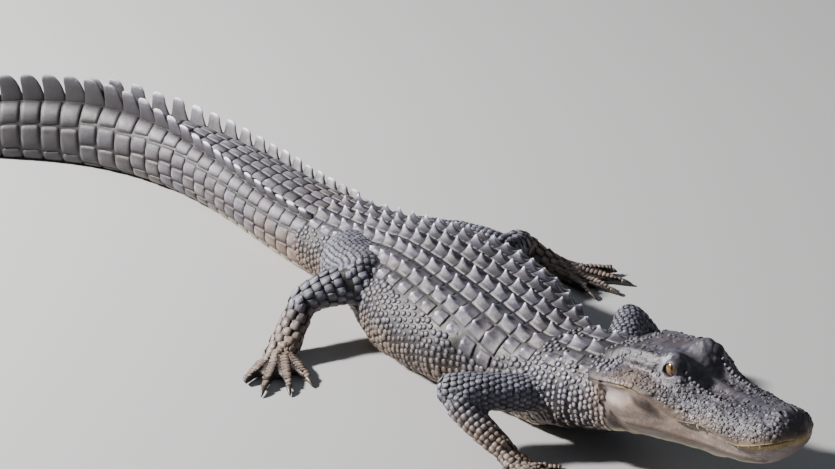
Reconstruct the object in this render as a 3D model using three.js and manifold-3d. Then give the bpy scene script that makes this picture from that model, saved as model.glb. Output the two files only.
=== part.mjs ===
// American alligator, life size, lying still with its head raised a little.
// Lengths are in millimetres. +X runs along the trunk to the head, +Y is the animal's left, +Z is up.
// The origin is the middle of the flat that the belly rests on.
import * as THREE from 'three';
import { ConvexGeometry } from 'three/addons/geometries/ConvexGeometry.js';
import { mergeVertices } from 'three/addons/utils/BufferGeometryUtils.js';
import Module from 'manifold-3d';

const wasm = await Module();
wasm.setup();

// Driving sizes
const HEAD_LENGTH = 326;
const TAIL_TIP = -1590;
const NODE_GAP = 0.3;
const FLOOR = 0;
const SEED = 7;

// Spine: heading in degrees, turned to the left, at distances ahead of the belly's middle
const SPINE_BEND = [
  [-1700, 56], [-1220, 53], [-970, 33], [-720, 12], [-520, 4],
  [-330, 9], [0, 0], [330, 1], [480, 10], [700, 11],
];
const SPINE_STEP = 5;

// Trunk, neck and tail: place along the spine, half width, top, underside and height of the widest line
const BODY_STATIONS = [
  { name: 'behind the skull', at: 530, half: 93, top: 197, under: 74, wide: 138 },
  { name: 'neck front', at: 480, half: 92, top: 184, under: 55, wide: 120 },
  { name: 'neck middle', at: 425, half: 91, top: 176, under: 30, wide: 104 },
  { name: 'neck root', at: 370, half: 92, top: 164, under: 8, wide: 90 },
  { name: 'shoulders', at: 315, half: 97, top: 154, under: -8, wide: 80 },
  { name: 'chest', at: 250, half: 110, top: 157, under: -8, wide: 74 },
  { name: 'ribs', at: 150, half: 150, top: 162, under: -8, wide: 68 },
  { name: 'belly', at: 30, half: 166, top: 163, under: -8, wide: 65 },
  { name: 'flank', at: -80, half: 143, top: 156, under: -8, wide: 65 },
  { name: 'loin', at: -165, half: 117, top: 140, under: -8, wide: 65 },
  { name: 'hips', at: -245, half: 100, top: 128, under: -7, wide: 62 },
  { name: 'vent', at: -330, half: 91, top: 122, under: -5, wide: 60 },
  { name: 'tail base', at: -430, half: 84, top: 119, under: -4, wide: 58 },
  { name: 'tail, first third', at: -620, half: 75, top: 119, under: -4, wide: 57 },
  { name: 'tail before the crests meet', at: -820, half: 62, top: 122, under: -4, wide: 56 },
  { name: 'crests meet', at: -980, half: 50, top: 124, under: -4, wide: 55 },
  { name: 'tail blade', at: -1180, half: 36, top: 116, under: -4, wide: 50 },
  { name: 'tail end', at: -1380, half: 22, top: 82, under: -3, wide: 36 },
  { name: 'near the tip', at: -1520, half: 11, top: 44, under: -2, wide: 20 },
  { name: 'tip', at: TAIL_TIP, half: 3, top: 10, under: -1, wide: 5 },
];
const SIDE_POWER = 0.92;
const BACK_POWER = 0.96;
const BELLY_POWER = 0.72;

// Back scutes: even rows from the shoulders to the hips, in columns each side of the midline
const BACK_ROWS = { first: 330, step: 36, count: 19 };
const BACK_STATIONS = [
  { at: 330, pitch: 30, columns: 2, keel: 10 },
  { at: 270, pitch: 33, columns: 2.4, keel: 12 },
  { at: 235, pitch: 34, columns: 3, keel: 12 },
  { at: 60, pitch: 35, columns: 3, keel: 13 },
  { at: -130, pitch: 33, columns: 3, keel: 13 },
  { at: -200, pitch: 31, columns: 2, keel: 13 },
  { at: -320, pitch: 27, columns: 2, keel: 12 },
];
const SCUTE = { lengthShare: 0.98, widthShare: 0.94, rim: 1.6, sink: 7, vary: 0.1 };

// Neck scutes: a square of four big ones with a smaller pair beside it, and a row behind the skull
const NECK_SCUTES = [
  { name: 'front pair', at: 442, out: 21, length: 36, width: 36, keel: 13 },
  { name: 'rear pair', at: 404, out: 23, length: 38, width: 40, keel: 13 },
  { name: 'outer pair', at: 420, out: 57, length: 32, width: 30, keel: 10 },
  { name: 'behind the skull, inner', at: 484, out: 16, length: 18, width: 20, keel: 8 },
  { name: 'behind the skull, outer', at: 480, out: 42, length: 18, width: 20, keel: 8 },
];

// Tail crest: two rows of upright scutes that draw together into one
const CREST_STATIONS = [
  { at: -350, step: 34, rise: 15, out: 56, thick: 13, splay: 24 },
  { at: -620, step: 38, rise: 25, out: 44, thick: 11, splay: 20 },
  { at: -820, step: 42, rise: 37, out: 25, thick: 9, splay: 12 },
  { at: -965, step: 45, rise: 50, out: 8, thick: 8, splay: 4 },
  { at: -1180, step: 43, rise: 54, out: 0, thick: 8, splay: 0 },
  { at: -1380, step: 31, rise: 38, out: 0, thick: 6, splay: 0 },
  { at: -1520, step: 19, rise: 20, out: 0, thick: 4, splay: 0 },
  { at: TAIL_TIP, step: 12, rise: 6, out: 0, thick: 2.5, splay: 0 },
];
const CREST_START = -352;
const CREST_END = TAIL_TIP + 14;
const CREST_SINK = 7;
const CREST_MEETS = 5;

// Named lengths of the body, cut across the spine
const BODY_LENGTHS = [
  { name: 'neck', from: 352, to: 540, rings: 7, around: 24 },
  { name: 'torso_front', from: 60, to: 352, rings: 8, around: 24 },
  { name: 'torso_rear', from: -300, to: 60, rings: 9, around: 24 },
  { name: 'tail_1', from: -550, to: -300, rings: 7, around: 18 },
  { name: 'tail_2', from: -790, to: -550, rings: 7, around: 18 },
  { name: 'tail_3', from: -1010, to: -790, rings: 7, around: 18 },
  { name: 'tail_4', from: -1250, to: -1010, rings: 7, around: 18 },
  { name: 'tail_5', from: TAIL_TIP, to: -1250, rings: 9, around: 16 },
];

// Head: fractions of the head length, measured forward from the back of the skull
const HEAD_AT = { x: 525, y: 26, z: 106, heading: 5.4, noseUp: 9.5 };
const HEAD_STATIONS = [
  { at: -0.06, half: 0.286, dome: 0.268, table: 0.300, mouth: 0.200, under: -0.085 },
  { at: 0.02, half: 0.300, dome: 0.276, table: 0.330, mouth: 0.215, under: -0.095 },
  { at: 0.12, half: 0.308, dome: 0.284, table: 0.340, mouth: 0.230, under: -0.098 },
  { at: 0.20, half: 0.298, dome: 0.284, table: 0.342, mouth: 0.232, under: -0.096 },
  { at: 0.28, half: 0.280, dome: 0.274, table: 0.336, mouth: 0.204, under: -0.092 },
  { at: 0.36, half: 0.255, dome: 0.258, table: 0.312, mouth: 0.150, under: -0.090 },
  { at: 0.44, half: 0.230, dome: 0.245, table: 0.256, mouth: 0.108, under: -0.090 },
  { at: 0.52, half: 0.210, dome: 0.224, table: 0.226, mouth: 0.100, under: -0.088 },
  { at: 0.62, half: 0.202, dome: 0.206, table: 0.206, mouth: 0.100, under: -0.084 },
  { at: 0.70, half: 0.197, dome: 0.197, table: 0.197, mouth: 0.080, under: -0.078 },
  { at: 0.78, half: 0.182, dome: 0.192, table: 0.192, mouth: 0.060, under: -0.066 },
  { at: 0.86, half: 0.170, dome: 0.194, table: 0.194, mouth: 0.074, under: -0.044 },
  { at: 0.93, half: 0.146, dome: 0.186, table: 0.186, mouth: 0.092, under: -0.010 },
  { at: 0.97, half: 0.110, dome: 0.168, table: 0.168, mouth: 0.100, under: 0.022 },
  { at: 1.00, half: 0.052, dome: 0.138, table: 0.138, mouth: 0.104, under: 0.062 },
];
const HEAD_BACK = -0.06;
const TABLE_HALF = 0.135;
const TABLE_EDGE = 0.06;
const EYE = { at: 0.345, out: 0.119, up: 0.303, radius: 15, lid: 2.2 };
const BROW = { at: 0.330, out: 0.100, radius: 0.068, rise: 0.042 };
const NOSTRIL = { at: 0.935, out: 0.034, up: 0.212 };
const NOSE_BOSS = { at: 0.925, radius: 0.062, rise: 0.028 };
const EYE_OPENING = { along: 12.5, tall: 7.5, deep: 24 };
const NOSTRIL_HOLE = { along: 7, across: 3.6, deep: 8 };
const UPPER_TEETH = { first: 0.50, last: 0.90, count: 8, length: 9, radius: 2.3, inset: 2.6 };
const JAW_INSET = 0.030;

const COLOURS = {
  hide: '#85807c',
  jaw: '#8f8172',
  eye: '#9c7a3c',
  tail: '#6f6b6a',
  leg: '#7d7d80',
};
const HIDE_ROUGHNESS = 0.7;
const EYE_ROUGHNESS = 0.15;

// Smooth value between stations: a cubic whose slopes never overshoot the given values
function smoothThrough(places, values, at) {
  const last = places.length - 1;
  const x = Math.min(Math.max(at, places[0]), places[last]);
  let i = 0;
  while (i < last - 1 && x > places[i + 1]) {
    i += 1;
  }
  const slope = (k) => (values[k + 1] - values[k]) / (places[k + 1] - places[k]);
  const tangent = (k) => {
    if (k === 0) {
      return slope(0);
    }
    if (k === last) {
      return slope(last - 1);
    }
    const before = slope(k - 1);
    const after = slope(k);
    return before * after <= 0 ? 0 : (2 * before * after) / (before + after);
  };
  const width = places[i + 1] - places[i];
  const t = (x - places[i]) / width;
  const hermite = [2 * t ** 3 - 3 * t ** 2 + 1, t ** 3 - 2 * t ** 2 + t, -2 * t ** 3 + 3 * t ** 2, t ** 3 - t ** 2];
  return hermite[0] * values[i] + hermite[1] * width * tangent(i)
    + hermite[2] * values[i + 1] + hermite[3] * width * tangent(i + 1);
}

// A named size read from a list of stations at any place between them
function sizeAt(stations, key, at) {
  const sorted = [...stations].sort((one, other) => one.at - other.at);
  return smoothThrough(sorted.map((s) => s.at), sorted.map((s) => s[key]), at);
}

// Spine walked in short steps each way from the origin, so its length is true along the bends
const spineTable = { forward: [], back: [] };
function headingAt(along) {
  const degrees = smoothThrough(SPINE_BEND.map((b) => b[0]), SPINE_BEND.map((b) => b[1]), along);
  return THREE.MathUtils.degToRad(degrees);
}
for (const [side, sign, reach] of [['forward', 1, 700], ['back', -1, -TAIL_TIP + 50]]) {
  const point = new THREE.Vector2(0, 0);
  for (let walked = 0; walked <= reach; walked += SPINE_STEP) {
    spineTable[side].push(point.clone());
    const turn = headingAt(sign * (walked + SPINE_STEP / 2));
    point.x += sign * SPINE_STEP * Math.cos(turn);
    point.y += sign * SPINE_STEP * Math.sin(turn);
  }
}

// Point of the body's own frame: along the spine, out to the left, and up
function fromSpine(along, left, up) {
  const walk = along >= 0 ? spineTable.forward : spineTable.back;
  const steps = Math.abs(along) / SPINE_STEP;
  const whole = Math.min(Math.floor(steps), walk.length - 2);
  const on = walk[whole].clone().lerp(walk[whole + 1], steps - whole);
  const turn = headingAt(along);
  return new THREE.Vector3(on.x - Math.sin(turn) * left, on.y + Math.cos(turn) * left, up);
}

// Point of the hide at an angle round the body: 0 is the left side, a quarter turn is the back
function hidePoint(along, angle, grow = 0) {
  const cos = Math.cos(angle);
  const sin = Math.sin(angle);
  const half = sizeAt(BODY_STATIONS, 'half', along) + grow;
  const wide = sizeAt(BODY_STATIONS, 'wide', along);
  const top = sizeAt(BODY_STATIONS, 'top', along) + grow;
  const under = sizeAt(BODY_STATIONS, 'under', along) - grow;
  const left = half * Math.sign(cos) * Math.abs(cos) ** SIDE_POWER;
  const up = sin >= 0
    ? wide + (top - wide) * sin ** BACK_POWER
    : wide - (wide - under) * Math.abs(sin) ** BELLY_POWER;
  return fromSpine(along, left, Math.max(up, FLOOR - grow));
}

// Closed solid from rings of points, with a fan over each end
function solidFromRings(rings) {
  const positions = [];
  const triangles = [];
  const around = rings[0].length;
  for (const ring of rings) {
    for (const point of ring) {
      positions.push(point.x, point.y, point.z);
    }
  }
  for (let i = 0; i < rings.length - 1; i += 1) {
    for (let j = 0; j < around; j += 1) {
      const next = (j + 1) % around;
      const a = i * around + j;
      const b = i * around + next;
      const c = (i + 1) * around + j;
      const d = (i + 1) * around + next;
      triangles.push(a, b, d, a, d, c);
    }
  }
  for (const [index, flip] of [[0, true], [rings.length - 1, false]]) {
    const middle = new THREE.Vector3();
    rings[index].forEach((point) => middle.addScaledVector(point, 1 / around));
    const centre = positions.length / 3;
    positions.push(middle.x, middle.y, middle.z);
    for (let j = 0; j < around; j += 1) {
      const one = index * around + j;
      const other = index * around + ((j + 1) % around);
      triangles.push(...(flip ? [centre, other, one] : [centre, one, other]));
    }
  }
  const geometry = new THREE.BufferGeometry();
  geometry.setAttribute('position', new THREE.Float32BufferAttribute(positions, 3));
  geometry.setIndex(triangles);
  return toSolid(geometry);
}

// Solid for joining and cutting, from any closed geometry
function toSolid(geometry, matrix = null) {
  const bare = geometry.clone();
  bare.deleteAttribute('normal');
  bare.deleteAttribute('uv');
  if (matrix) {
    bare.applyMatrix4(matrix);
  }
  const merged = mergeVertices(bare, 1e-4);
  const solid = new wasm.Manifold(new wasm.Mesh({
    numProp: 3,
    vertProperties: new Float32Array(merged.attributes.position.array),
    triVerts: new Uint32Array(merged.index.array),
  }));
  if (solid.volume() < 0) {
    throw new Error('a closed surface faces inward');
  }
  return solid;
}

// Largest closed surface of a joined solid, as a geometry
function toGeometry(solid) {
  const bodies = solid.decompose();
  bodies.sort((one, other) => other.volume() - one.volume());
  const mesh = bodies[0].getMesh();
  const geometry = new THREE.BufferGeometry();
  geometry.setAttribute('position', new THREE.BufferAttribute(new Float32Array(mesh.vertProperties), 3));
  geometry.setIndex([...mesh.triVerts]);
  geometry.computeVertexNormals();
  return geometry;
}

// Even spread of numbers with both ends
function spread(from, to, count) {
  return Array.from({ length: count }, (_, i) => from + ((to - from) * i) / (count - 1));
}

// Length of the body between two cuts, as rings across the spine
function bodyLength(from, to, rings, around, grow = 0) {
  const high = to - NODE_GAP / 2 + grow;
  const low = from + NODE_GAP / 2 - grow;
  return solidFromRings(spread(low, high, rings).map((along) => (
    Array.from({ length: around }, (_, j) => hidePoint(along, ((j + 0.5) * 2 * Math.PI) / around, grow))
  )));
}

// Head frame: from fractions of the head length to the body's frame
const headMatrix = new THREE.Matrix4().makeTranslation(HEAD_AT.x, HEAD_AT.y, HEAD_AT.z)
  .multiply(new THREE.Matrix4().makeRotationZ(THREE.MathUtils.degToRad(HEAD_AT.heading)))
  .multiply(new THREE.Matrix4().makeRotationY(-THREE.MathUtils.degToRad(HEAD_AT.noseUp)));
function headPoint(at, left, up) {
  return new THREE.Vector3(at, left, up).multiplyScalar(HEAD_LENGTH).applyMatrix4(headMatrix);
}

// Smooth step from 0 to 1
function ease(from, to, value) {
  const t = Math.min(Math.max((value - from) / (to - from), 0), 1);
  return t * t * (3 - 2 * t);
}

// Height of the head's upper surface, with the flat skull table, the brows and the nose boss on it
function headTop(at, left) {
  const half = sizeAt(HEAD_STATIONS, 'half', at);
  const mouth = sizeAt(HEAD_STATIONS, 'mouth', at);
  const dome = sizeAt(HEAD_STATIONS, 'dome', at);
  const table = sizeAt(HEAD_STATIONS, 'table', at);
  const out = Math.min(Math.abs(left) / half, 1);
  const shell = mouth + (dome - mouth) * Math.sqrt(Math.max(1 - out ** 3.0, 0));
  const plateau = 1 - ease(TABLE_HALF, TABLE_HALF + TABLE_EDGE, Math.abs(left));
  const brow = BROW.rise * Math.exp(-(((at - BROW.at) ** 2 + (Math.abs(left) - BROW.out) ** 2) / BROW.radius ** 2));
  const boss = NOSE_BOSS.rise * Math.exp(-(((at - NOSE_BOSS.at) ** 2 + left ** 2) / NOSE_BOSS.radius ** 2));
  return shell + (table - dome) * plateau + brow + boss;
}

// Half a ring of the head as eased angles, so that points gather at the edges
function headRing(at, points, edge, height) {
  return Array.from({ length: points }, (_, j) => {
    const left = edge * Math.cos((Math.PI * j) / (points - 1));
    return headPoint(at, left, height(left));
  });
}

const HEAD_RINGS = 24;
const HEAD_ACROSS = 17;
const LIP_ACROSS = 3;
const headPlaces = spread(0, 1, HEAD_RINGS).map((t) => HEAD_BACK + (1 - HEAD_BACK) * Math.sin((t * Math.PI) / 2) ** 1.15);

// Upper head: the dome above, the flat of the closed mouth below
function upperHeadShell() {
  const lipGap = NODE_GAP / 2 / HEAD_LENGTH;
  return solidFromRings(headPlaces.map((at) => {
    const half = sizeAt(HEAD_STATIONS, 'half', at);
    const mouth = sizeAt(HEAD_STATIONS, 'mouth', at) + lipGap;
    const rim = 0.012;
    const above = headRing(at, HEAD_ACROSS, half, (left) => Math.max(headTop(at, left), mouth + rim));
    const below = headRing(at, LIP_ACROSS, half * 0.985, () => mouth).reverse();
    return [...above, ...below];
  }));
}

// Lower jaw: flat on top where the mouth closes, rounded beneath
function lowerJawShell() {
  const lipGap = NODE_GAP / 2 / HEAD_LENGTH;
  return solidFromRings(headPlaces.map((at) => {
    const half = sizeAt(HEAD_STATIONS, 'half', at) - JAW_INSET * ease(0.12, 0.34, at) * (1 - ease(0.97, 1.0, at));
    const mouth = sizeAt(HEAD_STATIONS, 'mouth', at) - lipGap;
    const under = sizeAt(HEAD_STATIONS, 'under', at);
    const rim = Math.min(0.012, (mouth - under) * 0.4);
    const belly = (left) => {
      const out = Math.min(Math.abs(left) / half, 1);
      return Math.min(mouth - (mouth - under) * Math.sqrt(Math.max(1 - out ** 2.6, 0)), mouth - rim);
    };
    const above = headRing(at, LIP_ACROSS, half * 0.985, () => mouth);
    const below = headRing(at, HEAD_ACROSS - 6, half, belly).reverse();
    return [...above, ...below];
  }));
}

// Ball or egg placed in the head frame
function headEgg(at, left, up, semiX, semiY, semiZ, columns = 12, rows = 7) {
  const geometry = new THREE.SphereGeometry(1, columns, rows);
  const place = headMatrix.clone()
    .multiply(new THREE.Matrix4().makeTranslation(at * HEAD_LENGTH, left * HEAD_LENGTH, up * HEAD_LENGTH))
    .multiply(new THREE.Matrix4().makeScale(semiX, semiY, semiZ));
  return toSolid(geometry, place);
}

// Cone whose base sits at a point and whose tip points along a direction
function spike(base, direction, length, radius, sides, sink) {
  const geometry = new THREE.ConeGeometry(radius, length + sink, sides);
  geometry.translate(0, (length + sink) / 2 - sink, 0);
  const turn = new THREE.Quaternion().setFromUnitVectors(new THREE.Vector3(0, 1, 0), direction.clone().normalize());
  const place = new THREE.Matrix4().compose(base, turn, new THREE.Vector3(1, 1, 1));
  return toSolid(geometry, place);
}

function upperHead() {
  let solid = upperHeadShell();
  const down = headPoint(0, 0, -1).sub(headPoint(0, 0, 0)).normalize();
  for (const side of [1, -1]) {
    const lidRadius = EYE.radius + EYE.lid;
    solid = solid.add(headEgg(EYE.at, side * EYE.out, EYE.up, lidRadius * 1.1, lidRadius, lidRadius));
    solid = solid.subtract(headEgg(EYE.at, side * EYE.out, EYE.up,
      EYE.radius + NODE_GAP, EYE.radius + NODE_GAP, EYE.radius + NODE_GAP));
    const openingOut = EYE.out + EYE_OPENING.deep / HEAD_LENGTH;
    solid = solid.subtract(headEgg(EYE.at + 0.004, side * openingOut, EYE.up + 0.004,
      EYE_OPENING.along, EYE_OPENING.deep, EYE_OPENING.tall));
    solid = solid.subtract(headEgg(NOSTRIL.at, side * NOSTRIL.out, NOSTRIL.up,
      NOSTRIL_HOLE.along, NOSTRIL_HOLE.across, NOSTRIL_HOLE.deep, 10, 6));
    for (const [i, at] of spread(UPPER_TEETH.first, UPPER_TEETH.last, UPPER_TEETH.count).entries()) {
      const lip = sizeAt(HEAD_STATIONS, 'half', at) - UPPER_TEETH.inset / HEAD_LENGTH;
      const root = headPoint(at, side * lip, sizeAt(HEAD_STATIONS, 'mouth', at));
      const size = i % 3 === 1 ? 1.15 : 0.85;
      solid = solid.add(spike(root, down, UPPER_TEETH.length * size, UPPER_TEETH.radius * size, 4, 5));
    }
  }
  return solid;
}

// Rounded tube through a few points, each with its own width and height radius
function limbTube(stops, around, grow = 0, rings = LIMB_RINGS) {
  const path = new THREE.CatmullRomCurve3(stops.map((s) => s.at), false, 'centripetal');
  const last = stops.length - 1;
  const up = new THREE.Vector3(0, 0, 1);
  const count = last * rings + 1;
  const list = [];
  for (let i = 0; i < count; i += 1) {
    const t = i / (count - 1);
    const centre = path.getPoint(t);
    const ahead = path.getTangent(t);
    const side = new THREE.Vector3().crossVectors(up, ahead).normalize();
    const lift = new THREE.Vector3().crossVectors(ahead, side).normalize();
    const places = stops.map((_, k) => k / last);
    const wide = smoothThrough(places, stops.map((s) => s.wide), t) + grow;
    const tall = smoothThrough(places, stops.map((s) => s.tall), t) + grow;
    list.push(Array.from({ length: around }, (_, j) => {
      const angle = ((j + 0.5) * 2 * Math.PI) / around;
      return centre.clone().addScaledVector(side, wide * Math.cos(angle)).addScaledVector(lift, tall * Math.sin(angle));
    }));
  }
  return solidFromRings(list);
}

// Seeded draw between 0 and 1, so that every build gives the same animal
let drawState = SEED;
function draw() {
  drawState = (drawState * 16807) % 2147483647;
  return drawState / 2147483647;
}
function varied(size, share) {
  return size * (1 + share * (2 * draw() - 1));
}

// Angle round the body, on the upper side, of a distance out to the left
function angleAt(along, left) {
  const share = Math.min(Math.abs(left) / sizeAt(BODY_STATIONS, 'half', along), 1);
  return Math.acos(Math.sign(left) * share ** (1 / SIDE_POWER));
}

// Place on the hide with its directions: ahead along the spine, left and straight out
function hidePlace(along, left, splay = 0) {
  const angle = angleAt(along, left);
  const point = hidePoint(along, angle);
  const ahead = hidePoint(along + 2, angle).sub(point).normalize();
  const round = hidePoint(along, angle + 0.02).sub(point).normalize();
  const out = new THREE.Vector3().crossVectors(round, ahead).normalize();
  if (splay !== 0) {
    const turn = headingAt(along);
    out.set(-Math.sin(turn) * Math.sin(splay), Math.cos(turn) * Math.sin(splay), Math.cos(splay));
  }
  const across = new THREE.Vector3().crossVectors(out, ahead).normalize();
  return { point, ahead, across, out };
}

// Closed plate through corners given as ahead, left and out from a place on the hide
function plate(place, corners) {
  const points = corners.map(([ahead, left, out]) => place.point.clone()
    .addScaledVector(place.ahead, ahead)
    .addScaledVector(place.across, left)
    .addScaledVector(place.out, out));
  return toSolid(new ConvexGeometry(points));
}

// Keeled scute: a raised plate whose ridge climbs to a point at its back edge
function keeledScute(along, left, length, width, keel) {
  const l = length / 2;
  const w = width / 2;
  const rim = SCUTE.rim;
  return plate(hidePlace(along, left), [
    [l, w, -SCUTE.sink], [l, -w, -SCUTE.sink], [-l, w, -SCUTE.sink], [-l, -w, -SCUTE.sink],
    [l * 0.9, w * 0.86, rim], [l * 0.9, -w * 0.86, rim], [-l, w * 0.86, rim], [-l, -w * 0.86, rim],
    [l * 0.55, 0, keel * 0.42], [-l * 0.8, 0, keel],
  ]);
}

// Crest scute: an upright blade that leans back to its tip
function crestScute(along, left, size) {
  const l = size.step * 0.54;
  const t = size.thick / 2;
  const lean = THREE.MathUtils.degToRad(size.splay) * Math.sign(left);
  return plate(hidePlace(along, left, lean), [
    [l, t, -CREST_SINK], [l, -t, -CREST_SINK], [-l, t, -CREST_SINK], [-l, -t, -CREST_SINK],
    [l * 0.5, t * 0.5, size.rise * 0.5], [l * 0.5, -t * 0.5, size.rise * 0.5],
    [-l * 1.05, t * 0.16, size.rise], [-l * 1.05, -t * 0.16, size.rise],
  ]);
}

// All scutes of the back, neck and tail, each with the stretch of the spine that it covers
function allScutes() {
  const scutes = [];
  for (let row = 0; row < BACK_ROWS.count; row += 1) {
    const along = BACK_ROWS.first - BACK_ROWS.step * row;
    const pitch = sizeAt(BACK_STATIONS, 'pitch', along);
    const columns = Math.round(sizeAt(BACK_STATIONS, 'columns', along));
    for (let column = 0; column < columns; column += 1) {
      for (const side of [1, -1]) {
        const outer = 1 - 0.12 * column;
        scutes.push({
          make: keeledScute, along, left: side * pitch * (column + 0.5),
          sizes: [BACK_ROWS.step * SCUTE.lengthShare, pitch * SCUTE.widthShare,
            varied(sizeAt(BACK_STATIONS, 'keel', along) * outer, SCUTE.vary)],
        });
      }
    }
  }
  for (const scute of NECK_SCUTES) {
    for (const side of [1, -1]) {
      scutes.push({
        make: keeledScute, along: scute.at, left: side * scute.out,
        sizes: [scute.length, scute.width, varied(scute.keel, SCUTE.vary)],
      });
    }
  }
  let along = CREST_START;
  while (along > CREST_END) {
    const size = Object.fromEntries(['step', 'rise', 'out', 'thick', 'splay']
      .map((key) => [key, sizeAt(CREST_STATIONS, key, along)]));
    size.rise = varied(size.rise, SCUTE.vary * 0.6);
    const sides = size.out > CREST_MEETS ? [1, -1] : [0];
    for (const side of sides) {
      scutes.push({ make: crestScute, along, left: side * size.out, sizes: [size] });
    }
    along -= size.step;
  }
  return scutes;
}
const SCUTES = allScutes();
const SCUTE_REACH = 30;

// Length of the body with its scutes, cut flat at both ends and clear of the legs
function scutedLength(part, legs) {
  let solid = bodyLength(part.from, part.to, part.rings, part.around);
  for (const scute of SCUTES) {
    if (scute.along > part.from - SCUTE_REACH && scute.along < part.to + SCUTE_REACH) {
      solid = solid.add(scute.make(scute.along, scute.left, ...scute.sizes).subtract(legs));
    }
  }
  return solid.subtract(endBlock(part.from + NODE_GAP / 2, -1)).subtract(endBlock(part.to - NODE_GAP / 2, 1));
}

// Block beyond a plane across the spine, ahead of it or behind it
function endBlock(along, direction) {
  const reach = 150;
  const block = new THREE.BoxGeometry(reach, 3 * reach, 6 * reach);
  const place = new THREE.Matrix4().makeTranslation(...fromSpine(along, 0, 0))
    .multiply(new THREE.Matrix4().makeRotationZ(headingAt(along)))
    .multiply(new THREE.Matrix4().makeTranslation((direction * reach) / 2, 0, 0));
  return toSolid(block, place);
}

// Legs: joints of each leg as places along the spine, out from it and up, with its half width and height there
const FORELEGS = {
  right: {
    shoulder: { along: 396, out: 34, up: 82, wide: 28, tall: 28 },
    upperArm: { along: 352, out: 126, up: 90, wide: 31, tall: 29 },
    elbow: { along: 304, out: 198, up: 96, wide: 25, tall: 26 },
    elbowEnd: { along: 291, out: 213, up: 95, wide: 12, tall: 13 },
    forearm: { along: 352, out: 190, up: 64, wide: 23, tall: 22 },
    wrist: { along: 402, out: 170, up: 28, wide: 19, tall: 15 },
    wristEnd: { along: 418, out: 167, up: 19, wide: 10, tall: 8 },
    sole: { along: 430, out: 168, up: 11 },
    heading: 2,
  },
  left: {
    shoulder: { along: 390, out: 34, up: 84, wide: 28, tall: 28 },
    upperArm: { along: 330, out: 118, up: 94, wide: 31, tall: 29 },
    elbow: { along: 272, out: 176, up: 99, wide: 25, tall: 27 },
    elbowEnd: { along: 259, out: 190, up: 97, wide: 12, tall: 13 },
    forearm: { along: 316, out: 190, up: 66, wide: 23, tall: 22 },
    wrist: { along: 368, out: 186, up: 28, wide: 19, tall: 15 },
    wristEnd: { along: 384, out: 186, up: 19, wide: 10, tall: 8 },
    sole: { along: 396, out: 188, up: 11 },
    heading: 10,
  },
};
const HINDLEGS = {
  right: {
    hip: { along: -218, out: 55, up: 86, wide: 50, tall: 42 },
    thigh: { along: -150, out: 104, up: 97, wide: 54, tall: 45 },
    knee: { along: -82, out: 121, up: 103, wide: 43, tall: 40 },
    kneeEnd: { along: -60, out: 131, up: 101, wide: 22, tall: 24 },
    shank: { along: -102, out: 175, up: 94, wide: 34, tall: 32 },
    ankle: { along: -122, out: 217, up: 79, wide: 25, tall: 24 },
    ankleEnd: { along: -130, out: 232, up: 71, wide: 14, tall: 13 },
    sole: { along: -72, out: 292, up: 13 },
    heading: 34,
  },
  left: {
    hip: { along: -218, out: 52, up: 78, wide: 50, tall: 42 },
    thigh: { along: -152, out: 116, up: 75, wide: 48, tall: 42 },
    knee: { along: -86, out: 162, up: 72, wide: 35, tall: 35 },
    kneeEnd: { along: -66, out: 174, up: 69, wide: 16, tall: 17 },
    shank: { along: -102, out: 200, up: 64, wide: 31, tall: 31 },
    ankle: { along: -128, out: 236, up: 53, wide: 26, tall: 25 },
    ankleEnd: { along: -140, out: 248, up: 45, wide: 15, tall: 14 },
    sole: { along: -72, out: 290, up: 13 },
    heading: 30,
  },
};
const LIMB_AROUND = 11;
const LIMB_RINGS = 2;

function jointAt(side, joint) {
  return { at: fromSpine(joint.along, side * joint.out, joint.up), wide: joint.wide, tall: joint.tall };
}

// Each leg's joints in order, from the root inside the body to the foot
function legStops(name, side) {
  const fore = FORELEGS[name];
  const hind = HINDLEGS[name];
  const stops = (joints) => joints.map((joint) => jointAt(side, joint));
  return {
    arm: stops([fore.shoulder, fore.upperArm, fore.elbow, fore.elbowEnd]),
    forearm: stops([fore.elbow, fore.forearm, fore.wrist, fore.wristEnd]),
    thigh: stops([hind.hip, hind.thigh, hind.knee, hind.kneeEnd]),
    shank: stops([hind.knee, hind.shank, hind.ankle, hind.ankleEnd]),
  };
}

// Feet: a sole that comes down from the wrist or ankle, with toes fanned out from it, the inner three with claws
const FOREFOOT = {
  wide: 27, tall: 13, toeLength: [44, 56, 60, 50, 38], fan: [50, 24, 0, -26, -54],
  toeRadius: 8.5, clawed: 3, claw: 14, soleLength: 26,
};
const HINDFOOT = {
  wide: 29, tall: 16, toeLength: [70, 92, 96, 80], fan: [28, 9, -9, -27],
  toeRadius: 10, clawed: 3, claw: 17, soleLength: 30,
};
const CLAW_RADIUS = 0.46;
const TOE_AROUND = 6;
const SOLE_AROUND = 10;
const TOE_SPACING = 0.42;
const TOE_SINK = 16;

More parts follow.
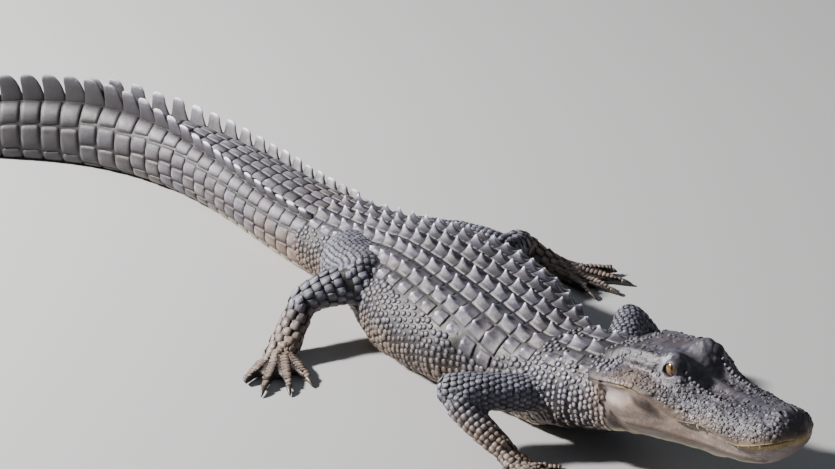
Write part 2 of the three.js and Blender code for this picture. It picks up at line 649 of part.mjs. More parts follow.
function foot(side, leg, root, plan, legBlock) {
  const start = fromSpine(leg.sole.along, side * leg.sole.out, leg.sole.up);
  const turn = headingAt(leg.sole.along) + side * THREE.MathUtils.degToRad(leg.heading);
  const ahead = new THREE.Vector3(Math.cos(turn), Math.sin(turn), 0);
  const across = new THREE.Vector3(-Math.sin(turn), Math.cos(turn), 0);
  const ball = start.clone().addScaledVector(ahead, plan.soleLength);
  let solid = limbTube([
    { at: root.at, wide: root.wide * 0.9, tall: root.tall * 0.9 },
    { at: start, wide: plan.wide, tall: plan.tall },
    { at: ball, wide: plan.wide * 1.1, tall: plan.tall * 0.75 },
    { at: ball.clone().addScaledVector(ahead, 12), wide: plan.wide * 0.6, tall: plan.tall * 0.4 },
  ], SOLE_AROUND, 0, 2);
  for (const [toe, length] of plan.toeLength.entries()) {
    const fanTurn = turn - side * THREE.MathUtils.degToRad(plan.fan[toe]);
    const way = new THREE.Vector3(Math.cos(fanTurn), Math.sin(fanTurn), 0);
    const offset = -side * ((plan.toeLength.length - 1) / 2 - toe) * plan.wide * TOE_SPACING;
    const base = ball.clone().addScaledVector(across, offset).addScaledVector(ahead, -TOE_SINK)
      .setZ(plan.toeRadius * 0.9);
    const middle = base.clone().addScaledVector(way, length * 0.6).setZ(plan.toeRadius);
    const tip = base.clone().addScaledVector(way, length).setZ(plan.toeRadius * 0.62);
    solid = solid.add(limbTube([
      { at: base, wide: plan.toeRadius, tall: plan.toeRadius },
      { at: middle, wide: plan.toeRadius * 0.92, tall: plan.toeRadius * 0.9 },
      { at: tip, wide: plan.toeRadius * 0.5, tall: plan.toeRadius * 0.5 },
    ], TOE_AROUND, 0, 1));
    if (toe < plan.clawed) {
      solid = solid.add(spike(tip, way.clone().setZ(-0.22), plan.claw, plan.toeRadius * CLAW_RADIUS, 5, 8));
    }
  }
  return solid.subtract(legBlock).subtract(floorBlock());
}

// Block under the floor, which cuts the resting flats level
function floorBlock() {
  const block = new THREE.BoxGeometry(4000, 4000, 100);
  return toSolid(block, new THREE.Matrix4().makeTranslation(0, 0, FLOOR - 50));
}

// Block in front of the plane where the head meets the neck
function headBlock() {
  const block = new THREE.BoxGeometry(800, 800, 800);
  const place = headMatrix.clone()
    .multiply(new THREE.Matrix4().makeTranslation(HEAD_BACK * HEAD_LENGTH - NODE_GAP + 400, 0, 0));
  return toSolid(block, place);
}

const group = new THREE.Group();
function addNode(name, solid, colour, roughness = HIDE_ROUGHNESS) {
  const material = new THREE.MeshStandardMaterial({ color: colour, roughness, metalness: 0 });
  const mesh = new THREE.Mesh(toGeometry(solid), material);
  mesh.name = name;
  group.add(mesh);
}

// Head
addNode('head', upperHead(), COLOURS.hide);
addNode('lower_jaw', lowerJawShell(), COLOURS.jaw);
for (const [name, side] of [['left', 1], ['right', -1]]) {
  const eye = headEgg(EYE.at, side * EYE.out, EYE.up, EYE.radius, EYE.radius, EYE.radius);
  addNode(`eye_${name}`, eye, COLOURS.eye, EYE_ROUGHNESS);
}

// Neck, torso and tail
const SIDES = [['left', 1], ['right', -1]];
const legRoots = SIDES
  .flatMap(([name, side]) => [legStops(name, side).arm, legStops(name, side).thigh])
  .map((stops) => limbTube(stops, LIMB_AROUND, NODE_GAP))
  .reduce((whole, piece) => whole.add(piece));
for (const part of BODY_LENGTHS) {
  const solid = scutedLength(part, legRoots);
  const colour = part.name.startsWith('tail') ? COLOURS.tail : COLOURS.hide;
  addNode(part.name, part.name === 'neck' ? solid.subtract(headBlock()) : solid, colour);
}

// Legs
const bodyBlock = BODY_LENGTHS.slice(0, 4)
  .map((part) => bodyLength(part.from, part.to, part.rings, part.around, NODE_GAP))
  .reduce((whole, piece) => whole.add(piece));
for (const [name, side] of SIDES) {
  const { arm, forearm, thigh, shank } = legStops(name, side);
  const armBlock = limbTube(arm, LIMB_AROUND, NODE_GAP);
  const forearmBlock = limbTube(forearm, LIMB_AROUND, NODE_GAP);
  const thighBlock = limbTube(thigh, LIMB_AROUND, NODE_GAP);
  const shankBlock = limbTube(shank, LIMB_AROUND, NODE_GAP);
  addNode(`upper_arm_${name}`, limbTube(arm, LIMB_AROUND).subtract(bodyBlock), COLOURS.leg);
  addNode(`forearm_${name}`, limbTube(forearm, LIMB_AROUND).subtract(armBlock).subtract(bodyBlock), COLOURS.leg);
  addNode(`forefoot_${name}`, foot(side, FORELEGS[name], forearm[2], FOREFOOT, forearmBlock), COLOURS.leg);
  addNode(`thigh_${name}`, limbTube(thigh, LIMB_AROUND).subtract(bodyBlock), COLOURS.leg);
  addNode(`shank_${name}`, limbTube(shank, LIMB_AROUND).subtract(thighBlock).subtract(bodyBlock), COLOURS.leg);
  addNode(`hindfoot_${name}`, foot(side, HINDLEGS[name], shank[2], HINDFOOT, shankBlock), COLOURS.leg);
}

export default group;
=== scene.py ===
# %% [markdown]
# # An American alligator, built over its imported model
#
# A living alligator has one skin from snout to tail tip. Bony plates, called scutes, stand on its back,
# upright blades stand on its tail, and pebbles, plates and keeled scales cover the rest. This lesson
# makes the skin as one mesh, then lays the scales over it as solid meshes, and then dresses both in the
# same dusty grey hide. The frame is loaded first, because every piece rides on it and replaces its nodes.

# %% Load the frame
import math

import bpy
import numpy as np
from mathutils import Matrix, Vector


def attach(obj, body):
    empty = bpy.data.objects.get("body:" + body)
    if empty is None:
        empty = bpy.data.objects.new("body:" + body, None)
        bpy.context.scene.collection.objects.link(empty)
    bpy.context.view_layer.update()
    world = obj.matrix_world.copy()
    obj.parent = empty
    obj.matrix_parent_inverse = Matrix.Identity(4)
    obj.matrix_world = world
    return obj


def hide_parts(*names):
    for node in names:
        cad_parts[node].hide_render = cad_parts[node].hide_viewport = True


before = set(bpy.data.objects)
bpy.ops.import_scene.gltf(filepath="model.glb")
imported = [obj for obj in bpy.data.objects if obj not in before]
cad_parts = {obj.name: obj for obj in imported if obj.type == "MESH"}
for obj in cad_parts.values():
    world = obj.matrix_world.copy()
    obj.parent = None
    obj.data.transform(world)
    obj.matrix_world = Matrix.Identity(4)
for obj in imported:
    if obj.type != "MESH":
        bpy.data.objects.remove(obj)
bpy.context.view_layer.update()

MM = 0.001
SEED = 7
rng = np.random.default_rng(SEED)
print("nodes in the frame:", len(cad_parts))

# %% [markdown]
# ## Camera, floor and light
#
# The picture was taken from in front of the animal's right side, about 25 degrees above it, with a long
# lens. A long lens keeps the tail from shrinking away, so its focal length matters as much as the place.
# The main light is one warm lamp on the left of the picture, where the sun stood for the real animal. A
# weak cool fill and a soft lamp from behind keep the shaded side readable.

# %% Camera
VIEW_TURN = math.radians(58.153)
VIEW_HEIGHT = math.radians(25.370)
VIEW_DISTANCE = 4.4086
VIEW_TARGET = Vector((-0.18765, 0.05119, 0.1))
LENS_MM = 108.30
SENSOR_MM = 36.0

view_back = Vector((math.sin(VIEW_TURN) * math.cos(VIEW_HEIGHT),
                    -math.cos(VIEW_TURN) * math.cos(VIEW_HEIGHT), math.sin(VIEW_HEIGHT)))
camera_data = bpy.data.cameras.new("camera")
camera_data.lens = LENS_MM
camera_data.sensor_width = SENSOR_MM
camera_data.sensor_fit = "HORIZONTAL"
camera_data.clip_end = 50.0
camera = bpy.data.objects.new("camera", camera_data)
bpy.context.scene.collection.objects.link(camera)
camera.location = VIEW_TARGET + view_back * VIEW_DISTANCE
camera.rotation_euler = view_back.to_track_quat("Z", "Y").to_euler()
bpy.context.scene.camera = camera
print("camera at", [round(v, 3) for v in camera.location])

# %% Floor, lights and surroundings
FLOOR_SIZE, FLOOR_DROP, FLOOR_ROUGHNESS = 60.0, 0.0005, 0.9
FLOOR_COLOUR = (0.33, 0.33, 0.34, 1.0)
SKY_COLOUR, SKY_STRENGTH = (0.80, 0.86, 0.95, 1.0), 0.14
LAMPS = [  # name, level way to it, height in degrees, distance and size in metres, watts, colour
    ("key", (-0.60, -0.80, 0.0), 33.0, 5.0, 0.42, 1180.0, (1.0, 0.972, 0.925)),
    ("fill", (0.9, -0.3, 0.0), 50.0, 5.5, 4.0, 11.0, (0.86, 0.92, 1.0)),
    ("back", (-0.2, 1.0, 0.0), 55.0, 5.0, 3.0, 20.0, (0.90, 0.94, 1.0)),
]


def add_lamp(name, way, height_deg, distance, size, watts, colour):
    """Square lamp that looks at the animal's middle from a level direction raised by an angle."""
    way, lift = Vector(way).normalized(), math.radians(height_deg)
    away = Vector((way.x * math.cos(lift), way.y * math.cos(lift), math.sin(lift)))
    data = bpy.data.lights.new(name, "AREA")
    data.energy = watts
    data.size = size
    data.color = colour
    lamp = bpy.data.objects.new(name, data)
    bpy.context.scene.collection.objects.link(lamp)
    lamp.location = VIEW_TARGET + away * distance
    lamp.rotation_euler = away.to_track_quat("Z", "Y").to_euler()


for lamp_settings in LAMPS:
    add_lamp(*lamp_settings)

world = bpy.data.worlds.new("studio")
bpy.context.scene.world = world
world.use_nodes = True
surroundings = world.node_tree.nodes["Background"]
surroundings.inputs["Color"].default_value = SKY_COLOUR
surroundings.inputs["Strength"].default_value = SKY_STRENGTH
bpy.context.scene.view_settings.view_transform = "AgX"

floor_mesh = bpy.data.meshes.new("floor")
reach = FLOOR_SIZE / 2
floor_mesh.from_pydata([(-reach, -reach, 0), (reach, -reach, 0), (reach, reach, 0), (-reach, reach, 0)],
                       [], [(0, 1, 2, 3)])
floor = bpy.data.objects.new("floor", floor_mesh)
bpy.context.scene.collection.objects.link(floor)
floor.location.z = -FLOOR_DROP
floor_paint = bpy.data.materials.new("matt_studio_floor")
floor_paint.use_nodes = True
floor_shader = floor_paint.node_tree.nodes["Principled BSDF"]
floor_shader.inputs["Base Color"].default_value = FLOOR_COLOUR
floor_shader.inputs["Roughness"].default_value = FLOOR_ROUGHNESS
floor_mesh.materials.append(floor_paint)
print("lamps:", len(LAMPS))

# %% [markdown]
# ## The spine and the hide
#
# The body is one soft tube, and its tail curves to the animal's right. Its cross section is known at
# named places, and between them a smooth curve that never overshoots fills in the rest. The same few
# lists were used for the solids, so the skin lies where they are. All lengths in the lists are
# millimetres, along the spine, out to the left and up.

# %% Named sizes of the body
SPINE_BEND = [(-1700, 56), (-1220, 53), (-970, 33), (-720, 12), (-520, 4),
              (-330, 9), (0, 0), (330, 1), (480, 10), (700, 11)]
TAIL_TIP = -1590
BODY_KEYS = ("at", "half", "top", "under", "wide")
BODY_ROWS = [
    (-1590, 3, 10, -1, 5), (-1520, 11, 44, -2, 20), (-1380, 22, 82, -3, 36), (-1180, 36, 116, -4, 50),
    (-980, 50, 124, -4, 55), (-820, 62, 122, -4, 56), (-620, 75, 119, -4, 57), (-430, 84, 119, -4, 58),
    (-330, 91, 122, -5, 60), (-245, 100, 128, -7, 62), (-165, 117, 140, -8, 65), (-80, 143, 156, -8, 65),
    (30, 166, 163, -8, 65), (150, 150, 162, -8, 68), (250, 110, 157, -8, 74), (315, 97, 154, -8, 80),
    (370, 92, 164, 8, 90), (425, 91, 176, 30, 104), (480, 92, 184, 55, 120), (530, 93, 197, 74, 138)]
SIDE_POWER, BACK_POWER, BELLY_POWER = 0.92, 0.96, 0.72


def columns_of(keys, rows):
    """Table of rows turned into one array for each key."""
    return dict(zip(keys, np.array(rows, float).T))


BODY = columns_of(BODY_KEYS, BODY_ROWS)


def smooth_through(places, values, at):
    """Cubic between stations. The slope at a station is the harmonic mean of the slopes beside it,
    or zero where the values turn, so the curve never passes them."""
    places, values = np.asarray(places, float), np.asarray(values, float)
    at = np.clip(np.asarray(at, float), places[0], places[-1])
    gap = np.diff(places)
    slope = np.diff(values) / gap
    product = slope[:-1] * slope[1:]
    total = np.where(product > 0, slope[:-1] + slope[1:], 1.0)
    tangent = np.concatenate(([slope[0]], np.where(product > 0, 2 * product / total, 0.0), [slope[-1]]))
    i = np.clip(np.searchsorted(places, at, side="right") - 1, 0, len(gap) - 1)
    t = (at - places[i]) / gap[i]
    return ((2 * t**3 - 3 * t**2 + 1) * values[i] + (t**3 - 2 * t**2 + t) * gap[i] * tangent[i]
            + (-2 * t**3 + 3 * t**2) * values[i + 1] + (t**3 - t**2) * gap[i] * tangent[i + 1])


def size_at(table, key, at):
    """Value of one named size at any place between the stations."""
    return smooth_through(table["at"], table[key], at)


SPINE_STEP = 5.0


def heading_at(along):
    """Turn of the spine to the left, in radians, smooth between the named bends."""
    return np.radians(smooth_through([b[0] for b in SPINE_BEND], [b[1] for b in SPINE_BEND], along))


def walk_spine(first, last):
    """Points of the spine: each step adds its length along the heading at the step's middle."""
    places = np.arange(first, last + 1, SPINE_STEP)
    middles = heading_at(places[:-1] + SPINE_STEP / 2)
    x = np.concatenate(([0.0], np.cumsum(np.cos(middles) * SPINE_STEP)))
    y = np.concatenate(([0.0], np.cumsum(np.sin(middles) * SPINE_STEP)))
    start = np.searchsorted(places, 0.0)
    return places, x - x[start], y - y[start]


SPINE_AT, SPINE_X, SPINE_Y = walk_spine(-1650.0, 700.0)


def from_spine(along, left, up):
    """Point at a place on the spine, moved out to the left across it, and up."""
    along, left, up = np.broadcast_arrays(along, left, up)
    turn = heading_at(along)
    return np.stack([np.interp(along, SPINE_AT, SPINE_X) - np.sin(turn) * left,
                     np.interp(along, SPINE_AT, SPINE_Y) + np.cos(turn) * left, up], axis=-1)


SPINE_CHUNK = 20000


def to_spine(points):
    """Place along the spine and distance out to the left of points, from the nearest step of the spine."""
    best = np.empty(len(points), int)
    for first in range(0, len(points), SPINE_CHUNK):
        part = points[first:first + SPINE_CHUNK]
        far = (part[:, 0:1] - SPINE_X)**2 + (part[:, 1:2] - SPINE_Y)**2
        best[first:first + SPINE_CHUNK] = far.argmin(axis=1)
    turn = heading_at(SPINE_AT[best])
    dx, dy = points[:, 0] - SPINE_X[best], points[:, 1] - SPINE_Y[best]
    along = SPINE_AT[best] + dx * np.cos(turn) + dy * np.sin(turn)
    return along, -dx * np.sin(turn) + dy * np.cos(turn)


def signed_power(value, power):
    """Size of a value raised to a power, with the value's sign kept."""
    return np.sign(value) * np.abs(value)**power


def hide_point(along, angle):
    """Point of the hide at an angle round the body, where 0 is the left side and a quarter turn is the
    back: half width times cosine to a power, and height from the widest line times sine to a power."""
    wide, top, under = (size_at(BODY, key, along) for key in ("wide", "top", "under"))
    sin = np.sin(angle)
    left = size_at(BODY, "half", along) * signed_power(np.cos(angle), SIDE_POWER)
    up = np.where(sin >= 0, wide + (top - wide) * np.abs(sin)**BACK_POWER,
                  wide - (wide - under) * np.abs(sin)**BELLY_POWER)
    return from_spine(along, left, np.maximum(up, 0.0))


print("tail tip at", hide_point(np.array(float(TAIL_TIP)), np.array(0.0)).round(1))

# %% [markdown]
# ## Meshes from grids
#
# Nearly every piece here is a grid of points carried along something: rings along the spine, rings along
# a leg. The faces between the points of a grid follow one pattern, so they are worked out once for
# whole arrays, and the ends are closed with a fan of triangles round one middle point.

# %% Helpers that turn arrays into meshes
TINY = 1e-9


def unit(vectors):
    """Vectors divided by their own length."""
    return vectors / np.maximum(np.linalg.norm(vectors, axis=-1, keepdims=True), TINY)


def full_turn(many):
    """Angles spread evenly round a circle."""
    return np.linspace(0, 2 * math.pi, many, endpoint=False)


def chance(many):
    """Seeded random numbers from -1 to 1."""
    return 2 * rng.random(many) - 1


def tube_faces(rings, around):
    """Faces of a closed tube of rings, as two tables of point numbers: the quads between rings, and a fan
    of triangles over each end."""
    ring, spot = np.meshgrid(np.arange(rings - 1), np.arange(around), indexing="ij")
    a = ring * around + spot
    b = ring * around + (spot + 1) % around
    quads = np.stack([a, b, b + around, a + around], axis=-1).reshape(-1, 4)
    j = np.arange(around)
    near = np.stack([np.full(around, rings * around), (j + 1) % around, j], axis=-1)
    last = (rings - 1) * around
    far = np.stack([np.full(around, rings * around + 1), last + j, last + (j + 1) % around], axis=-1)
    return quads, np.vstack([near, far])


def tube_points(rings):
    """Points of a stack of rings, with the middle of the first and of the last ring at the end."""
    return np.vstack([rings.reshape(-1, 3), rings[0].mean(axis=0), rings[-1].mean(axis=0)])


def shade_smooth(mesh):
    """Shades all faces of a mesh smoothly."""
    mesh.polygons.foreach_set("use_smooth", np.full(len(mesh.polygons), True))


def new_object(name, points_mm, faces):
    """Object at the origin with a mesh of these points, in millimetres, and these tables of faces."""
    mesh = bpy.data.meshes.new(name)
    rows = [face for table in faces for face in table.tolist()]
    mesh.from_pydata((np.asarray(points_mm) * MM).tolist(), [], rows)
    mesh.validate()
    mesh.update()
    shade_smooth(mesh)
    obj = bpy.data.objects.new(name, mesh)
    bpy.context.scene.collection.objects.link(obj)
    return obj


def tube_object(name, rings):
    """Closed tube through rings of points."""
    return new_object(name, tube_points(rings), tube_faces(*rings.shape[:2]))


def joined(name, tubes):
    """One object with several loose closed tubes, each given as its rings."""
    points, faces, start = [], [], 0
    for rings in tubes:
        points.append(tube_points(rings))
        faces += [table + start for table in tube_faces(*rings.shape[:2])]
        start += len(points[-1])
    return new_object(name, np.vstack(points), faces)


def numbers_of(items, field, width, kind=float):
    """Array of one field of a mesh's points, edges or corners, with a row for each."""
    flat = np.empty(len(items) * width, kind)
    items.foreach_get(field, flat)
    return flat.reshape(-1, width)


def points_of(obj):
    """Points of an object's mesh, in millimetres."""
    return numbers_of(obj.data.vertices, "co", 3) / MM


def edges_of(obj):
    """Edges of an object's mesh as pairs of point numbers."""
    return numbers_of(obj.data.edges, "vertices", 2, int)


def set_points(obj, points_mm):
    """Puts moved points, in millimetres, back into an object's mesh."""
    obj.data.vertices.foreach_set("co", (np.asarray(points_mm) * MM).ravel())
    obj.data.update()


def over_floor(points, height=0.0):
    """Points with those that are too low lifted to a height over the floor."""
    return np.column_stack([points[:, :2], np.maximum(points[:, 2], height)])


def apply_modifiers(obj):
    """Replaces an object's mesh by what its modifiers make of it."""
    made = bpy.data.meshes.new_from_object(obj.evaluated_get(bpy.context.evaluated_depsgraph_get()))
    obj.modifiers.clear()
    obj.data = made


def cut_or_add(obj, other, operation):
    """Joins another closed mesh to an object, or cuts it away, and removes that other."""
    change = obj.modifiers.new("join", "BOOLEAN")
    change.operation = operation
    change.solver = "MANIFOLD"
    change.object = other
    apply_modifiers(obj)
    bpy.data.objects.remove(other)


def relax(points, edges, rounds, weight=1.0):
    """Moves each point part of the way to the mean of its neighbours, a few times over."""
    points = points.copy()
    count = np.bincount(edges.ravel(), minlength=len(points))[:, None]
    share = np.reshape(weight, (-1, 1)) * 0.5
    for _ in range(rounds):
        total = np.zeros_like(points)
        for axis in range(3):
            total[:, axis] = (np.bincount(edges[:, 0], points[edges[:, 1], axis], len(points))
                              + np.bincount(edges[:, 1], points[edges[:, 0], axis], len(points)))
        points += share * (total / np.maximum(count, 1) - points)
    return points


def ease(first, last, value):
    """Smooth step from 0 at first to 1 at last."""
    t = np.clip((value - first) / (last - first), 0, 1)
    return t * t * (3 - 2 * t)


def bump(value, middle, reach):
    """Bell curve: 1 at the middle, and gone a couple of reaches away."""
    return np.exp(-((value - middle) / reach)**2)


# %% [markdown]
# ## Noise for wrinkles and pits
#
# Skin is never even. Two seeded patterns give it life: a smooth one, which blends random values held at
# the corners of a lattice, and a cell pattern, which measures how far each point is from the nearest
# of many scattered seeds and so looks like pebbles. Both are worked out for whole arrays at once.

# %% Noise functions
HASH_STEPS = (374761393, 668265263, 2147483647)
HASH_MIX, HASH_TOP = 1274126177, 0xFFFFFF


def hash_of(cells, channel):
    """Random number from 0 to 1 for each whole-number cell, the same every time."""
    n = (sum(cells[..., k] * step for k, step in enumerate(HASH_STEPS))
         + (channel + SEED) * HASH_MIX).astype(np.uint64)
    n = (n ^ (n >> np.uint64(13))) * np.uint64(HASH_MIX)
    n = n ^ (n >> np.uint64(16))
    return (n & np.uint64(HASH_TOP)).astype(float) / HASH_TOP


def soft_noise(points, size, channel=0):
    """Random values at the corners of a lattice of that size, blended smoothly; from -1 to 1."""
    q = points / size
    cell = np.floor(q).astype(np.int64)
    f = q - cell
    f = f * f * (3 - 2 * f)
    total = 0.0
    for corner in np.ndindex(2, 2, 2):
        share = np.prod(np.where(np.array(corner) == 1, f, 1 - f), axis=-1)
        total = total + share * hash_of(cell + np.array(corner), channel)
    return total * 2 - 1


def cell_noise(points, size, channel=0):
    """Distance from each point to the nearest and second nearest scattered seed, over the cell size."""
    q = points / size
    cell = np.floor(q).astype(np.int64)
    near = np.full(q.shape[:-1], 9.0)
    second = np.full(q.shape[:-1], 9.0)
    for step in np.ndindex(3, 3, 3):
        other = cell + np.array(step) - 1
        seed = np.stack([hash_of(other, channel + k) for k in range(3)], axis=-1)
        far = np.linalg.norm(other + seed - q, axis=-1)
        second = np.minimum(second, np.maximum(near, far))
        near = np.minimum(near, far)
    return near, second


print("noise check:", soft_noise(np.zeros((1, 3)), 10.0).round(3))

# %% [markdown]
# ## The head
#
# A head is what everybody looks at, so it isn't left to noise. It is a stack of rings from neck to snout.
# Each ring runs over the top, round the upper lip, into the slit of the mouth, out over the lower lip and
# under the jaw. Lengths are shares of the head's length. Ridges, hollows and folds are added as bell
# curves at named places.

# %% Named sizes of the head
HEAD_LENGTH = 326.0
HEAD_X, HEAD_Y, HEAD_Z = 525.0, 26.0, 106.0
HEAD_HEADING, HEAD_NOSE_UP = 5.4, 9.5
HEAD_KEYS = ("at", "half", "dome", "table", "mouth", "under")
HEAD_ROWS = [
    (-.06, .286, .268, .300, .200, -.085), (.02, .300, .276, .330, .215, -.095),
    (.12, .308, .284, .340, .230, -.098), (.20, .298, .284, .342, .232, -.096),
    (.28, .280, .274, .336, .204, -.092), (.36, .255, .258, .312, .150, -.090),
    (.44, .230, .245, .256, .108, -.090), (.52, .210, .224, .226, .100, -.088),
    (.62, .202, .206, .206, .100, -.084), (.70, .197, .197, .197, .080, -.078),
    (.78, .182, .192, .192, .060, -.066), (.86, .170, .194, .194, .074, -.044),
    (.93, .146, .186, .186, .092, .004), (.97, .110, .168, .168, .100, .040),
    (1.00, .052, .138, .138, .104, .074)]
HEAD = columns_of(HEAD_KEYS, HEAD_ROWS)
HEAD_BACK, HEAD_ROOT = -0.06, -0.17
TABLE_HALF, TABLE_EDGE = 0.135, 0.06
EYE_AT, EYE_OUT, EYE_UP, EYE_RADIUS, EYE_LID = 0.345, 0.119, 0.303, 15.0, 1.8
BROW_AT, BROW_OUT, BROW_REACH, BROW_RISE = 0.335, 0.106, 0.062, 0.050
BOSS_AT, BOSS_REACH, BOSS_RISE = 0.925, 0.062, 0.028
NOSTRIL_AT, NOSTRIL_OUT, NOSTRIL_UP = 0.935, 0.034, 0.212
JAW_INSET = 0.030
LIP_GAP, MOUTH_DEPTH, CORNER_AT = 0.0035, 0.045, 0.20
RIDGE_OUT, RIDGE_SLANT, RIDGE_FROM = 0.112, 0.10, 0.42
EAR_UP, EAR_SLOPE, EAR_FROM = 0.303, 0.02, 0.2

# Oval forms of the head's top: rise, middle out, reach out, middle ahead, reach ahead
SNOUT_HOLLOW = (-0.020, 0.058, 0.034, 0.475, 0.075)
BETWEEN_EYES = (-0.016, 0.0, 0.040, 0.33, 0.07)
NOSE_CLEFT = (-0.008, 0.0, 0.010, BOSS_AT + 0.01, 0.045)
NOSTRIL_RISE, NOSTRIL_REACH, NOSTRIL_SHIFT = 0.008, 0.024, 0.006

HEAD_MATRIX = np.array(Matrix.Translation((HEAD_X, HEAD_Y, HEAD_Z))
                       @ Matrix.Rotation(math.radians(HEAD_HEADING), 4, "Z")
                       @ Matrix.Rotation(-math.radians(HEAD_NOSE_UP), 4, "Y"))


def from_head(at, left, up):
    """Point of the head, given in shares of its length, in the whole animal's millimetres."""
    at, left, up = np.broadcast_arrays(at, left, up)
    return np.stack([at, left, up], axis=-1) * HEAD_LENGTH @ HEAD_MATRIX[:3, :3].T + HEAD_MATRIX[:3, 3]


def to_head(points):
    """Shares of the head's length, ahead, left and up, of points in the animal's millimetres."""
    return (points - HEAD_MATRIX[:3, 3]) @ HEAD_MATRIX[:3, :3] / HEAD_LENGTH


def mound(at, out, middle_at, middle_out, reach):
    """Round bell: 1 at its middle, and gone a couple of reaches away."""
    return np.exp(-((at - middle_at)**2 + (out - middle_out)**2) / reach**2)


def oval(form, one, other):
    """Oval form: its rise times a bell curve along each of two directions."""
    rise, middle, reach, other_middle, other_reach = form
    return rise * bump(one, middle, reach) * bump(other, other_middle, other_reach)


def ridge_line(at):
    """How far out the ridge in front of the eye runs. It draws in towards the nose."""
    return RIDGE_OUT - RIDGE_SLANT * (at - RIDGE_FROM)


def ear_line(at):
    """Height of the slit of the ear behind the eye."""
    return EAR_UP + EAR_SLOPE * (at - EAR_FROM)


def head_top(at, left):
    """Height of the upper head: an eased dome, plus the flat skull table, the brows, the nose boss, the
    ridges in front of the eyes, the hollows between them and the ridge along the snout."""
    half, mouth = size_at(HEAD, "half", at), size_at(HEAD, "mouth", at)
    dome, table = size_at(HEAD, "dome", at), size_at(HEAD, "table", at)
    wide = np.abs(left)
    out = np.minimum(wide / half, 1)
    shell = mouth + (dome - mouth) * np.sqrt(np.maximum(1 - out**3, 0))
    plateau = 1 - ease(TABLE_HALF, TABLE_HALF + TABLE_EDGE, wide)
    brow = BROW_RISE * mound(at, wide, BROW_AT, BROW_OUT, BROW_REACH)
    boss = BOSS_RISE * mound(at, left, BOSS_AT, 0.0, BOSS_REACH)
    nostrils = NOSTRIL_RISE * mound(at, wide, NOSTRIL_AT, NOSTRIL_OUT + NOSTRIL_SHIFT, NOSTRIL_REACH)
    hollow, between_eyes, cleft = (oval(f, wide, at) for f in (SNOUT_HOLLOW, BETWEEN_EYES, NOSE_CLEFT))
    ridge = 0.012 * bump(wide, ridge_line(at), 0.013) * ease(0.40, 0.44, at) * (1 - ease(0.60, 0.68, at))
    midline = 0.007 * bump(left, 0.0, 0.022) * ease(0.42, 0.52, at) * (1 - ease(0.76, 0.86, at))
    table_rim = 0.007 * bump(wide, TABLE_HALF, 0.020) * (1 - ease(0.22, 0.32, at))
    return (shell + (table - dome) * plateau + brow + boss + ridge + hollow + between_eyes + midline
            + table_rim + nostrils + cleft)


def jaw_half(at):
    """Half width of the lower jaw, which closes inside the upper one in front of the mouth's corner, and
    less so at the chin."""
    return size_at(HEAD, "half", at) - JAW_INSET * ease(0.12, 0.34, at) * (1 - 0.8 * ease(0.82, 0.94, at))


# %% Rings of the head
UPPER_POINTS, LOWER_POINTS, SLIT_POINTS = 101, 73, 6
LEVEL_RINGS, TIP_RINGS, ROOT_RINGS, NOSE_RINGS = 158, 22, 7, 6

TIP_FROM = 0.90

level = np.linspace(HEAD_BACK, TIP_FROM, LEVEL_RINGS)
tip = TIP_FROM + (1 - TIP_FROM) * np.sin(np.linspace(0, math.pi / 2, TIP_RINGS))[1:]
head_at = np.concatenate([level, tip])


def head_rings(at):
    """Rings of the head at given places: over the top, along the mouth's slit and under the jaw."""
    at = at[:, None]
    half, mouth = size_at(HEAD, "half", at), size_at(HEAD, "mouth", at)
    under, low_half = size_at(HEAD, "under", at), jaw_half(at)
    open_share = ease(CORNER_AT - 0.03, CORNER_AT + 0.06, at) * (1 - ease(0.97, 1.0, at))
    parted = LIP_GAP * (0.35 + 0.65 * open_share) + 0.016 * bump(at, 0.56, 0.055) * open_share
    depth = 0.004 + MOUTH_DEPTH * open_share
    turn = np.linspace(0, math.pi, UPPER_POINTS)[None, :]
    left = half * signed_power(np.cos(turn), 0.70)
    lip_swell = 0.010 * bump(at, 0.62, 0.10) + 0.006
    up = np.maximum(head_top(at, left), mouth + parted / 2 + 0.004)
    edge = np.clip(np.abs(left) / half, 0, 1)
    left = left * (1 + lip_swell * bump(up, mouth + 0.014, 0.016) * (edge > 0.5))
    rings = [np.stack(np.broadcast_arrays(at, left, up), axis=-1)]
    turn = np.linspace(0, math.pi, LOWER_POINTS)[None, :]
    low_left = low_half * signed_power(np.cos(turn), 0.77)
    low_up = mouth - parted / 2 - 0.004 - (mouth - under - 0.004) * np.sin(turn)
    below = np.stack(np.broadcast_arrays(at, low_left, low_up), axis=-1)[:, ::-1]
    for side in (-1, 1):
        upper = [(half * 0.995, parted / 2), (low_half + (half - low_half) * 0.3, parted / 2),
                 (low_half - depth * 0.5, parted / 2), (low_half - depth, 0 * parted)]
        lower = [(low_half - depth * 0.5, -parted / 2), (low_half - 0.004, -parted / 2)]
        slit = [np.concatenate([at, side * out, mouth + rise], axis=1) for out, rise in upper + lower]
        slit = np.stack(slit, axis=1)
        if side == -1:
            rings += [slit, below]
        else:
            rings.append(slit[:, ::-1])
    return np.concatenate(rings, axis=1)


rings = head_rings(head_at)
around = rings.shape[1]
print("rings of the head:", rings.shape)

# %% [markdown]
# ### Pits, folds and the swollen cheek
#
# The snout is covered in pits and low bumps, the skull table in flat lumps, and the jaw has fine creases.
# Each is a push along the surface's own outward direction.

# %% Push the head's surface in and out
def grid_normals(grid):
    """Outward unit directions of a grid of rings: the step round crossed with the step along."""
    along = np.gradient(grid, axis=0)
    return unit(np.cross(along, np.roll(grid, -1, axis=1) - np.roll(grid, 1, axis=1)))


